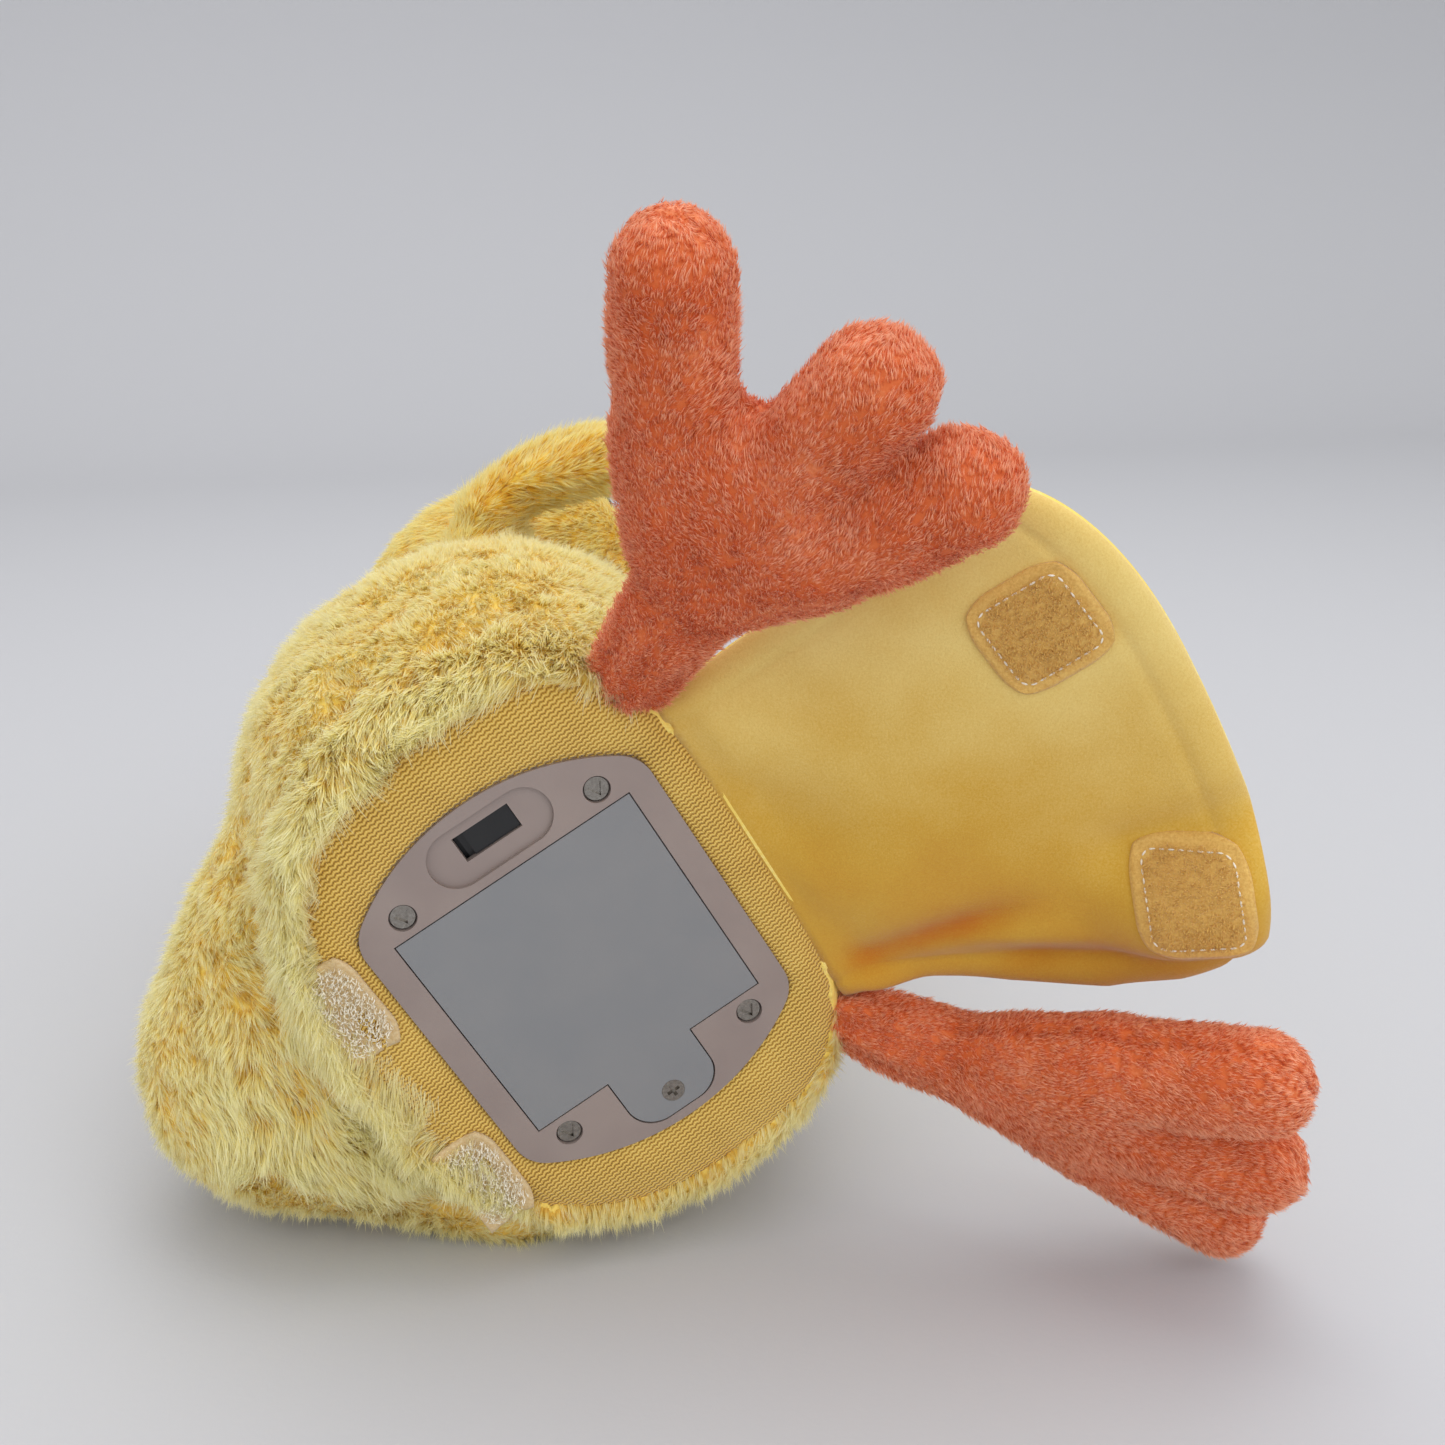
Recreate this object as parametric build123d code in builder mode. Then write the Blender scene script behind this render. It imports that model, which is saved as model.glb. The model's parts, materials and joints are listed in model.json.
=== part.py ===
from build123d import *
import os
from math import atan2, ceil, copysign, cos, degrees, hypot, pi, radians, sin

# Battery-operated plush duckling with a motor-driven beak, lying on its left side.
# It is drawn standing: base plate at z = 0, head at +Z, face at -Y, its left side at +X.
# The last section lays every piece on its side and stands the whole on the ground.
# All sizes are in millimetres.

# ---- how the toy lies ----
roll_back = 30.8  # it lies on its left side, rolled this far towards its back
rest_depth = 75.0  # from the centre of the base plate down to the ground
down = (cos(radians(roll_back)), sin(radians(roll_back)), 0)
ground = Plane(origin=tuple(rest_depth * part for part in down), z_dir=down)

# ---- base plate, battery door and switch ----
plate_half_length = 46.0
plate_half_width = 35.5
plate_end_radius = 55.0  # both ends are bowed
plate_corner = 9.0
plate_rim = 1.2  # the rim clamps the fabric of the base
plate_thickness = 3.0
fabric_thickness = 1.2
fabric_step = 2.0  # the plate's body is this much smaller all round than its rim
door_size = (55.2, 58.0)
door_thickness = 1.8
door_gap = 0.3
door_tab_reach = 43.5
door_tab_half_width = 10.8
door_tab_corner = 7.0
door_ledge = 2.0
running_gap = 0.05
screw_x = 32.4
screw_y = 24.0
screw_head_radius = 2.6
screw_head_height = 1.3
screw_head_top = 0.7
screw_shaft_radius = 1.3
screw_pocket_radius = 3.0
screw_length = 9.0
boss_radius = 4.2
boss_top = 11.0
recess_depth = 0.8
door_screw_x = 38.4
door_screw_radius = 1.25
switch_x = -36.5
switch_pocket = (29.0, 13.0)
slot_x = -37.45
slot_size = (6.1, 13.6)
slot_y = -0.2
knob_size = (5.7, 11.0)
knob_y = -1.3
knob_top = 1.9
knob_flange = (8.0, 14.0)
knob_flange_z = (3.1, 4.3)
switch_body_size = (10.0, 19.0)
switch_body_z = (4.4, 11.0)

# ---- battery case, cells and sound module ----
cell_radius = 7.25
cell_length = 50.5
cell_pitch = 16.0
cell_z = 10.85
nub_radius = 2.75
nub_length = 1.0
case_half = (26.4, 29.0)
case_half_inside = (24.6, 27.0)
case_wall = 1.6
case_top = 21.0
contact_size = (10.0, 0.4, 9.0)
spring_radii = (4.0, 2.5)
sound_box_half = 28.0
sound_box_top = 50.0
board_size = (44.0, 34.0, 1.6)
board_z = 27.0
board_post = (18.0, 13.0)
board_post_radius = 2.5
board_screw_radius = 1.0
chip_size = (12.0, 12.0, 1.5)

# ---- plush body and head ----
torso_rings = (
    # height, half width, reach to the front, reach to the back, squareness of the front
    (2.4, 64.0, 45.0, 52.0, 3.2),
    (30.0, 75.0, 56.0, 62.0, 2.8),
    (70.0, 77.0, 62.0, 67.0, 2.5),
    (115.0, 68.0, 60.0, 60.0, 2.4),
    (150.0, 57.0, 55.0, 50.0, 2.3),
    (176.0, 46.0, 50.0, 34.0, 2.2),
)
back_squareness = 2.3
ring_points = 20
tail_centre = (0.0, 74.0, 45.0)
tail_radius = 38.0
stuffing_gap = 0.3
head_centre = (0.0, -22.0, 217.0)
head_half_width = 59.0
head_radius = 57.0
tuft_radii = (9.0, 2.0)
tuft_height = 18.0
tuft_z = 275.0
eye_radius = 6.0
eye_point = (25.0, -69.0, 236.0)
eye_stem_radius = 1.5
eye_stem_length = 12.0
washer_radius = 6.5
washer_depth = 9.0
washer_thickness = 1.2

# ---- beak drive in the head ----
sector_module = 0.8
sector_full_teeth = 40  # the toothed sector is part of a wheel of this many teeth
small_teeth = 10
motor_module = 0.5
large_teeth = 36
motor_teeth = 10
jaw_opening = 25.0
spare_teeth = 2  # beyond the teeth in mesh, at both ends of the sector
sector_low = -ceil(jaw_opening * sector_full_teeth / 360) - spare_teeth
sector_teeth = [place + 0.5 for place in range(sector_low, spare_teeth)]
sector_radius = sector_module * sector_full_teeth / 2
small_radius = sector_module * small_teeth / 2
large_radius = motor_module * large_teeth / 2
motor_gear_radius = motor_module * motor_teeth / 2
jaw_axis = (-44.0, 207.0)  # y and z; every axle runs along X
gear_axis = (jaw_axis[0] + sector_radius + small_radius, jaw_axis[1])
motor_axis = (gear_axis[0], gear_axis[1] + large_radius + motor_gear_radius)
sector_half_thickness = 2.0
jaw_pin_radius = 1.5
gear_shaft_radius = 1.0
motor_shaft_radius = 0.75
motor_radius = 6.0
motor_x = (8.8, 23.8)
motor_boss_radius = 1.25
gearbox_low = (-12.0, -52.0, 187.0)
gearbox_high = (26.0, -8.0, 228.0)
gearbox_wall = 1.6
gearbox_split = -5.0
mid_wall = (6.8, 8.4)
corner_post_radius = 3.0
corner_inset = 3.4
case_screw_radius = 1.0
hub_radius = 4.5
hub_x = (-9.5, 6.0)
arm_thickness = 2.4
arm_z = (200.5, 206.5)
arm_reach = -86.0
mouth_slot_x = (-12.0, 9.0)
mouth_slot_z = (184.0, 216.0)
tongue_z = (201.3, 203.7)
upper_former_z = (212.0, 214.4)
former_half_width = 17.0
former_tip = -109.0
beak_half_width = 25.0
beak_tip = -119.0
beak_root = -66.0
upper_beak_z = (208.6, 219.0)
lower_beak_z = (197.0, 208.0)
neck_place = (6.0, -18.0)
neck_radius = 7.0
neck_bore = 5.0
neck_flange_radius = 12.0
neck_flange = 2.0

# ---- flap, tabs, wings and feet ----
flap_lift = 28.0
flap_seam = (1.0, -47.0, -0.5)
flap_outline = (  # across from the middle of the seam, and down from the seam
    (44, 0), (54, 28), (62, 50), (64, 72), (55, 89), (38, 95), (0, 97),
    (-32, 91), (-46, 83), (-54, 68), (-47, 34), (-42, 0),
)
felt_thickness = 1.5
flap_plush_thickness = 4.0
patch_size = 24.0
patch_corner = 4.0
patch_thickness = 1.6
patch_place_right = (-25.0, 75.0)
patch_place_left = (43.0, 78.0)
patch_turn_right = 9.0
patch_turn_left = -15.0
fastener_tab_size = (24.0, 12.0, 1.2)
fastener_tab_x = (-22.0, 30.0)
fastener_tab_y = 44.5
wing_thickness_left = 15.0
wing_thickness_right = 10.0
wing_lean = 15.0
wing_inner_x = 68.5
wing_height = 118.0
wing_back_left = 8.0  # pressed back under the body
wing_back_right = -28.0  # flopped forward
wing_length = 88.0
wing_half_height = 26.0
foot_thickness = 19.0
toe_radius = 11.0
heel_radius = 11.0
heel_start = 21.0
ball_radius = 14.0
ball_share = 0.55  # how far along the foot its ball lies

# ---- where things lie, worked out ----
screw_places = [(x, y) for x in (-screw_x, screw_x) for y in (-screw_y, screw_y)]
board_places = [(x, y) for x in (-board_post[0], board_post[0]) for y in (-board_post[1], board_post[1])]
post_places = [
    (y, z)
    for y in (gearbox_low[1] + corner_inset, gearbox_high[1] - corner_inset)
    for z in (gearbox_low[2] + corner_inset, gearbox_high[2] - corner_inset)
]


def body_ring(half_width, front, back, front_squareness):
    """Points round one level of the body, squarer towards the front than the back."""
    points = []
    for step in range(ring_points):
        turn = 2 * pi * step / ring_points
        across, along = cos(turn), sin(turn)
        squareness = back_squareness if along > 0 else front_squareness
        reach = back if along > 0 else front
        x = half_width * copysign(abs(across) ** (2 / squareness), across)
        y = reach * copysign(abs(along) ** (2 / squareness), along)
        points.append((x, y))
    return points


def plate_outline(inset):
    """Two straight sides and two bowed ends, smaller by the inset all round."""
    with BuildSketch() as outline:
        Rectangle(2 * plate_half_length, 2 * (plate_half_width - inset))
        for side in (-1, 1):
            with Locations((side * (plate_end_radius - plate_half_length), 0)):
                Circle(plate_end_radius - inset, mode=Mode.INTERSECT)
        fillet(outline.vertices(), plate_corner - inset)
    return outline.sketch


def door_outline(grow):
    """The battery door with its rounded screw tab on one side."""
    tab_width = 2 * (door_tab_half_width + grow)
    tab_start = door_size[0] / 4
    tab_end = door_tab_reach + grow
    with BuildSketch() as outline:
        with Locations(((tab_start + tab_end) / 2, 0)):
            Rectangle(tab_end - tab_start, tab_width)
        fillet(outline.vertices().group_by(Axis.X)[-1], door_tab_corner)
        Rectangle(door_size[0] + 2 * grow, door_size[1] + 2 * grow)
    return outline.sketch


def axle_plane(x, axis):
    """A plane across an axle: its x is the toy's back, its y is up."""
    return Plane(origin=(x, *axis), x_dir=(0, 1, 0), z_dir=(1, 0, 0))


def tooth_points(teeth, module, places=None):
    """Corners of straight-sided teeth, at every pitch or at the given places."""
    radius = module * teeth / 2
    pitch = 2 * pi / teeth
    corners = ((-0.30, -1.05), (-0.10, 0.75), (0.10, 0.75), (0.30, -1.05))
    points = []
    for tooth in places or range(teeth):
        for share, height in corners:
            angle = (tooth + share) * pitch
            reach = radius + height * module
            points.append((reach * cos(angle), reach * sin(angle)))
    return points


def box_between(low, high):
    """A box drawn from its lowest to its highest corner."""
    size = [high[i] - low[i] for i in range(3)]
    with Locations(tuple((low[i] + high[i]) / 2 for i in range(3))):
        Box(*size)


def beak_outline(half_width, tip):
    """Half an ellipse from the root to the tip, for a plane that faces up."""
    reach = beak_root - tip
    with BuildSketch() as outline:
        with Locations((0, beak_root)):
            Ellipse(half_width, reach)
        with Locations((0, beak_root - reach / 2)):
            Rectangle(2 * half_width, reach, mode=Mode.INTERSECT)
    return outline.sketch


def head_form(grow):
    """The head's rounded shape, larger by grow all round and turned about its width."""
    wide, deep = head_half_width + grow, head_radius + grow
    with BuildPart() as form:
        with BuildSketch(Plane(origin=head_centre, x_dir=(1, 0, 0), z_dir=(0, 0, 1))):
            Ellipse(wide, deep)
            with Locations((0, deep / 2)):
                Rectangle(2 * wide, deep, mode=Mode.INTERSECT)
        revolve(axis=Axis(head_centre, (1, 0, 0)))
    return form.part


# ---- base: plate, door, screws and switch ----
with BuildPart() as base_plate:
    with BuildSketch():
        add(plate_outline(0))
    extrude(amount=plate_rim)
    with BuildSketch(Plane.XY.offset(plate_rim)):
        add(plate_outline(fabric_step))
    extrude(amount=plate_thickness - plate_rim)
    with BuildSketch(Plane.XY.offset(plate_thickness)):
        with Locations(*screw_places, (door_screw_x, 0)):
            Circle(boss_radius)
    extrude(amount=boss_top - plate_thickness)
    with BuildSketch():
        add(door_outline(door_gap))
    extrude(amount=door_thickness, mode=Mode.SUBTRACT)
    with BuildSketch():
        Rectangle(door_size[0] - 2 * door_ledge, door_size[1] - 2 * door_ledge)
    extrude(amount=plate_thickness, mode=Mode.SUBTRACT)
    with BuildSketch():
        with Locations(*screw_places):
            Circle(screw_pocket_radius)
    extrude(amount=screw_head_top + screw_head_height, mode=Mode.SUBTRACT)
    with BuildSketch():
        with Locations(*screw_places):
            Circle(screw_shaft_radius)
        with Locations((door_screw_x, 0)):
            Circle(door_screw_radius + running_gap)
    extrude(amount=boss_top, mode=Mode.SUBTRACT)
    with BuildSketch():
        with Locations((switch_x, slot_y)):
            SlotOverall(*switch_pocket, rotation=90)
    extrude(amount=plate_rim, mode=Mode.SUBTRACT)
    with BuildSketch():
        with Locations((slot_x, slot_y)):
            Rectangle(*slot_size)
    extrude(amount=plate_thickness, mode=Mode.SUBTRACT)
base_plate.part.label = "base_plate"

with BuildPart() as battery_door:
    with BuildSketch():
        add(door_outline(0))
    extrude(amount=door_thickness)
    with BuildSketch():
        with Locations((door_screw_x, 0)):
            Circle(screw_head_radius + running_gap)
    extrude(amount=recess_depth + 0.2, mode=Mode.SUBTRACT)
    with BuildSketch():
        with Locations((door_screw_x, 0)):
            Circle(door_screw_radius + running_gap)
    extrude(amount=door_thickness, mode=Mode.SUBTRACT)
battery_door.part.label = "battery_door"

with BuildPart() as door_screw:
    with BuildSketch():
        with Locations((door_screw_x, 0)):
            Circle(screw_head_radius)
    extrude(amount=recess_depth + 0.2)
    with BuildSketch():
        with Locations((door_screw_x, 0)):
            Circle(door_screw_radius)
    extrude(amount=screw_length)
    with BuildSketch():
        with Locations((door_screw_x, 0)):
            Rectangle(3.0, 0.8)
            Rectangle(0.8, 3.0)
    extrude(amount=recess_depth, mode=Mode.SUBTRACT)
door_screw.part.label = "door_screw"

with BuildPart() as plate_screws:
    with BuildSketch(Plane.XY.offset(screw_head_top)):
        with Locations(*screw_places):
            Circle(screw_head_radius)
    extrude(amount=screw_head_height)
    with BuildSketch(Plane.XY.offset(screw_head_top)):
        with Locations(*screw_places):
            Circle(screw_shaft_radius)
    extrude(amount=screw_length)
    with BuildSketch(Plane.XY.offset(screw_head_top)):
        with Locations(*screw_places):
            RegularPolygon(1.9, 3)
    extrude(amount=recess_depth, mode=Mode.SUBTRACT)
plate_screws.part.label = "plate_screws"

with BuildPart() as switch_knob:
    with BuildSketch(Plane.XY.offset(knob_top)):
        with Locations((slot_x, knob_y)):
            Rectangle(*knob_size)
    extrude(amount=knob_flange_z[1] - knob_top)
    with BuildSketch(Plane.XY.offset(knob_flange_z[0])):
        with Locations((slot_x, knob_y)):
            Rectangle(*knob_flange)
    extrude(amount=knob_flange_z[1] - knob_flange_z[0])
switch_knob.part.label = "switch_knob"

with BuildPart() as switch_body:
    with BuildSketch(Plane.XY.offset(switch_body_z[0])):
        with Locations((slot_x, slot_y)):
            Rectangle(*switch_body_size)
    extrude(amount=switch_body_z[1] - switch_body_z[0])
switch_body.part.label = "switch_body"

with BuildPart() as base_panel:
    with BuildSketch(Plane.XY.offset(plate_rim)):
        with BuildLine():
            Spline(*body_ring(*torso_rings[0][1:]), periodic=True)
        make_face()
        add(plate_outline(fabric_step - running_gap), mode=Mode.SUBTRACT)
    extrude(amount=fabric_thickness)
base_panel.part.label = "base_panel"

# ---- battery case and sound module ----
with BuildPart() as battery_case:
    box_between((-case_half[0], -case_half[1], plate_thickness), (*case_half, case_top))
    with BuildSketch(Plane.XY.offset(plate_thickness)):
        Rectangle(2 * case_half_inside[0], 2 * case_half_inside[1])
    extrude(amount=case_top - case_wall - plate_thickness, mode=Mode.SUBTRACT)
    with BuildSketch(Plane.XY.offset(case_top)):
        with Locations(*board_places):
            Circle(board_post_radius)
    extrude(amount=board_z - case_top)
    with BuildSketch(Plane.XY.offset(case_top)):
        with Locations(*board_places):
            Circle(board_screw_radius)
    extrude(amount=board_z - case_top, mode=Mode.SUBTRACT)
battery_case.part.label = "battery_case"

with BuildPart() as battery_cells:
    for cell in (-1, 0, 1):
        nub_end = 1 if cell == 0 else -1
        start = nub_end * cell_length / 2
        with BuildSketch(Plane(origin=(cell * cell_pitch, start, cell_z), z_dir=(0, -nub_end, 0))):
            Circle(nub_radius)
        extrude(amount=nub_length)
        shoulder = start - nub_end * nub_length
        with BuildSketch(Plane(origin=(cell * cell_pitch, shoulder, cell_z), z_dir=(0, -nub_end, 0))):
            Circle(cell_radius)
        extrude(amount=cell_length - nub_length)
battery_cells.part.label = "battery_cells"

with BuildPart() as battery_contacts:
    spring_reach = case_half_inside[1] - contact_size[1] - cell_length / 2
    for cell in (-1, 0, 1):
        for end in (-1, 1):
            wall = end * case_half_inside[1]
            nub_side = end == (1 if cell == 0 else -1)
            radii = (nub_radius, nub_radius) if nub_side else spring_radii
            with Locations((cell * cell_pitch, wall - end * contact_size[1] / 2, cell_z)):
                Box(*contact_size)
            stem = Plane(
                origin=(cell * cell_pitch, wall - end * contact_size[1], cell_z), z_dir=(0, -end, 0)
            )
            with BuildSketch(stem):
                Circle(radii[0])
            with BuildSketch(stem.offset(spring_reach)):
                Circle(radii[1])
            loft()
battery_contacts.part.label = "battery_contacts"

with BuildPart() as sound_box:
    inside = sound_box_half - case_wall
    box_between((-sound_box_half, -sound_box_half, case_top), (sound_box_half, sound_box_half, sound_box_top))
    with BuildSketch(Plane.XY.offset(case_top)):
        Rectangle(2 * inside, 2 * inside)
    extrude(amount=sound_box_top - case_wall - case_top, mode=Mode.SUBTRACT)
    with BuildSketch(Plane.XY.offset(sound_box_top)):
        with Locations((-12, 10)):
            with GridLocations(6, 6, 3, 3):
                Circle(1.2)
    extrude(amount=-2 * case_wall, mode=Mode.SUBTRACT)
sound_box.part.label = "sound_box"

with BuildPart() as circuit_board:
    with BuildSketch(Plane.XY.offset(board_z)):
        Rectangle(board_size[0], board_size[1])
        with Locations(*board_places):
            Circle(board_screw_radius, mode=Mode.SUBTRACT)
    extrude(amount=board_size[2])
    with BuildSketch(Plane.XY.offset(board_z + board_size[2])):
        Rectangle(chip_size[0], chip_size[1])
    extrude(amount=chip_size[2])
circuit_board.part.label = "circuit_board"

with BuildPart() as board_screws:
    with BuildSketch(Plane.XY.offset(board_z + board_size[2])):
        with Locations(*board_places):
            Circle(2 * board_screw_radius)
    extrude(amount=1.2)
    with BuildSketch(Plane.XY.offset(board_z + board_size[2])):
        with Locations(*board_places):
            Circle(board_screw_radius)
    extrude(amount=-(board_size[2] + 4))
board_screws.part.label = "board_screws"

with BuildPart() as speaker_basket:
    with BuildSketch(Plane.XZ):
        with BuildLine():
            Polyline(
                (9.5, 41), (11.5, 41), (20, 45.4), (20, 48.4), (17.5, 48.4), (17.5, 46.4), (9.5, 42.4),
                close=True,
            )
        make_face()
    revolve(axis=Axis.Z)
speaker_basket.part.label = "speaker_basket"

with BuildPart() as speaker_magnet:
    with BuildSketch(Plane.XY.offset(36)):
        Circle(11)
    extrude(amount=5)
speaker_magnet.part.label = "speaker_magnet"

with BuildPart() as speaker_cone:
    with BuildSketch(Plane.XZ):
        with BuildLine():
            Polyline((0, 43.4), (5, 43.4), (17.5, 47.4), (17.5, 48), (5, 44.2), (0, 44.2), close=True)
        make_face()
    revolve(axis=Axis.Z)
speaker_cone.part.label = "speaker_cone"

with BuildPart() as neck_post:
    with BuildSketch(Plane.XY.offset(sound_box_top)):
        with Locations(neck_place):
            Circle(neck_flange_radius)
    extrude(amount=neck_flange)
    with BuildSketch(Plane.XY.offset(sound_box_top)):
        with Locations(neck_place):
            Circle(neck_radius)
    extrude(amount=gearbox_low[2] - sound_box_top)
    with BuildSketch(Plane.XY.offset(sound_box_top)):
        with Locations(neck_place):
            Circle(neck_bore)
    extrude(amount=gearbox_low[2] - sound_box_top, mode=Mode.SUBTRACT)
neck_post.part.label = "neck_post"

# ---- beak drive: gearbox, motor, gears and jaw ----
with BuildPart() as gearbox:
    box_between(gearbox_low, gearbox_high)
    with BuildSketch(Plane.YZ.offset(gearbox_low[0] + gearbox_wall)):
        centre = [(gearbox_low[i] + gearbox_high[i]) / 2 for i in (1, 2)]
        size = [gearbox_high[i] - gearbox_low[i] - 2 * gearbox_wall for i in (1, 2)]
        with Locations(tuple(centre)):
            Rectangle(*size)
        with Locations(*post_places):
            Circle(corner_post_radius, mode=Mode.SUBTRACT)
    gear_room = mid_wall[0] - gearbox_low[0] - gearbox_wall
    extrude(amount=gear_room, mode=Mode.SUBTRACT)
    with BuildSketch(Plane.YZ.offset(mid_wall[1])):
        with Locations(tuple(centre)):
            Rectangle(*size)
    extrude(amount=gearbox_high[0] - gearbox_wall - mid_wall[1], mode=Mode.SUBTRACT)
    with BuildSketch(Plane.XZ.offset(-gearbox_low[1] + 1)):
        slot_low, slot_high = gearbox_low[2] + 2 * corner_inset, upper_former_z[0] - 1
        with Locations(((gearbox_low[0] + gearbox_wall + mid_wall[0]) / 2, (slot_low + slot_high) / 2)):
            Rectangle(gear_room, slot_high - slot_low)
    extrude(amount=-gearbox_wall - 2, mode=Mode.SUBTRACT)
    with BuildSketch(Plane.YZ.offset(gearbox_low[0])):
        with Locations(jaw_axis):
            Circle(jaw_pin_radius)
        with Locations(gear_axis):
            Circle(gear_shaft_radius)
        with Locations(*post_places):
            Circle(case_screw_radius)
    extrude(amount=mid_wall[1] - gearbox_low[0], mode=Mode.SUBTRACT)
    with BuildSketch(Plane.YZ.offset(mid_wall[0])):
        with Locations(motor_axis):
            Circle(motor_boss_radius + 0.3)
    extrude(amount=mid_wall[1] - mid_wall[0], mode=Mode.SUBTRACT)

with BuildPart() as gearbox_left:
    add(gearbox.part)
    split(bisect_by=Plane.YZ.offset(gearbox_split), keep=Keep.TOP)
gearbox_left.part.label = "gearbox_left"

with BuildPart() as gearbox_right:
    add(gearbox.part)
    split(bisect_by=Plane.YZ.offset(gearbox_split), keep=Keep.BOTTOM)
gearbox_right.part.label = "gearbox_right"

with BuildPart() as gearbox_screws:
    with BuildSketch(Plane.YZ.offset(gearbox_low[0])):
        with Locations(*post_places):
            Circle(2 * case_screw_radius)
    extrude(amount=-1.2)
    with BuildSketch(Plane.YZ.offset(gearbox_low[0])):
        with Locations(*post_places):
            Circle(case_screw_radius)
    extrude(amount=14)
gearbox_screws.part.label = "gearbox_screws"

with BuildPart() as motor:
    with BuildSketch(Plane.YZ.offset(motor_x[0])):
        with Locations(motor_axis):
            Circle(motor_radius)
            Rectangle(2 * motor_radius, 10, mode=Mode.INTERSECT)
    extrude(amount=motor_x[1] - motor_x[0])
    with BuildSketch(Plane.YZ.offset(motor_x[0])):
        with Locations(motor_axis):
            Circle(motor_boss_radius)
    extrude(amount=-1.2)
    with BuildSketch(Plane.YZ.offset(motor_x[0] - 1.2)):
        with Locations(motor_axis):
            Circle(motor_shaft_radius + running_gap)
    extrude(amount=8, mode=Mode.SUBTRACT)
motor.part.label = "motor"

with BuildPart() as motor_pinion:
    with BuildSketch(axle_plane(2.8, motor_axis)):
        with BuildLine():
            Polyline(*tooth_points(motor_teeth, motor_module), close=True)
        make_face()
    extrude(amount=3.4)
    with BuildSketch(Plane.YZ.offset(2.8)):
        with Locations(motor_axis):
            Circle(motor_shaft_radius)
    extrude(amount=10)
motor_pinion.part.label = "motor_pinion"

with BuildPart() as compound_gear:
    with BuildSketch(axle_plane(-3, gear_axis)):
        with BuildLine():
            Polyline(*tooth_points(small_teeth, sector_module), close=True)
        make_face()
    extrude(amount=6)
    with BuildSketch(axle_plane(3, gear_axis)):
        with BuildLine():
            Polyline(*tooth_points(large_teeth, motor_module), close=True)
        make_face()
    extrude(amount=2.6)
    with BuildSketch(axle_plane(-10, gear_axis)):
        Circle(2.4)
    extrude(amount=7)
    with BuildSketch(axle_plane(-10, gear_axis)):
        Circle(gear_shaft_radius + running_gap)
    extrude(amount=17, mode=Mode.SUBTRACT)
compound_gear.part.label = "compound_gear"

with BuildPart() as gear_shaft:
    with BuildSketch(Plane.YZ.offset(gearbox_low[0])):
        with Locations(gear_axis):
            Circle(gear_shaft_radius)
    extrude(amount=mid_wall[1] - gearbox_low[0])
gear_shaft.part.label = "gear_shaft"

with BuildPart() as jaw_pin:
    with BuildSketch(Plane.YZ.offset(gearbox_low[0])):
        with Locations(jaw_axis):
            Circle(jaw_pin_radius)
    extrude(amount=mid_wall[1] - gearbox_low[0])
jaw_pin.part.label = "jaw_pin"

with BuildPart() as jaw_former:
    with BuildSketch(Plane.XY.offset(tongue_z[0])):
        add(beak_outline(former_half_width, former_tip))
    extrude(amount=tongue_z[1] - tongue_z[0])
    add(head_form(2 * stuffing_gap), mode=Mode.SUBTRACT)
    with BuildSketch(Plane.YZ.offset(hub_x[0])):
        with Locations(jaw_axis):
            Circle(hub_radius)
    extrude(amount=hub_x[1] - hub_x[0])
    with BuildSketch(axle_plane(-sector_half_thickness, jaw_axis)):
        with BuildLine():
            teeth = tooth_points(sector_full_teeth, sector_module, sector_teeth)
            Polyline((0, 0), *teeth, close=True)
        make_face()
    extrude(amount=2 * sector_half_thickness)
    for arm_x in (hub_x[0], hub_x[1] - arm_thickness):
        box_between((arm_x, arm_reach, arm_z[0]), (arm_x + arm_thickness, jaw_axis[0], arm_z[1]))
    with BuildSketch(Plane.YZ.offset(hub_x[0])):
        with Locations(jaw_axis):
            Circle(jaw_pin_radius + running_gap)
    extrude(amount=hub_x[1] - hub_x[0], mode=Mode.SUBTRACT)
jaw_former.part.label = "jaw_former"

with BuildPart() as upper_former:
    with BuildSketch(Plane.XY.offset(upper_former_z[0])):
        add(beak_outline(former_half_width, former_tip))
        with Locations((mouth_slot_x[0] / 2 + mouth_slot_x[1] / 2, (beak_root + gearbox_low[1]) / 2)):
            Rectangle(mouth_slot_x[1] - mouth_slot_x[0] - 3, gearbox_low[1] - beak_root)
    extrude(amount=upper_former_z[1] - upper_former_z[0])
upper_former.part.label = "upper_former"

with BuildPart() as beak_lower:
    with BuildSketch(Plane.XY.offset(lower_beak_z[0])):
        add(beak_outline(beak_half_width - 2, beak_tip + 3))
    extrude(amount=lower_beak_z[1] - lower_beak_z[0])
    add(head_form(stuffing_gap + 1.0), mode=Mode.SUBTRACT)
    add(jaw_former.part, mode=Mode.SUBTRACT)
beak_lower.part.label = "beak_lower"

with BuildPart() as beak_upper:
    with BuildSketch(Plane.XY.offset(upper_beak_z[0])):
        add(beak_outline(beak_half_width, beak_tip))
    extrude(amount=upper_beak_z[1] - upper_beak_z[0])
    add(head_form(stuffing_gap), mode=Mode.SUBTRACT)
    add(upper_former.part, mode=Mode.SUBTRACT)
beak_upper.part.label = "beak_upper"

# ---- head: stuffed plush, eyes and tuft ----
eye_direction = (Vector(*eye_point) - Vector(*head_centre)).normalized()


def eye_plane(side, depth):
    """A plane across the eye's stem, some depth behind the centre of its bead."""
    toward = Vector(side * eye_direction.X, eye_direction.Y, eye_direction.Z)
    middle = Vector(side * eye_point[0], eye_point[1], eye_point[2]) - toward * depth
    return Plane(origin=tuple(middle), z_dir=tuple(toward))


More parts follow.
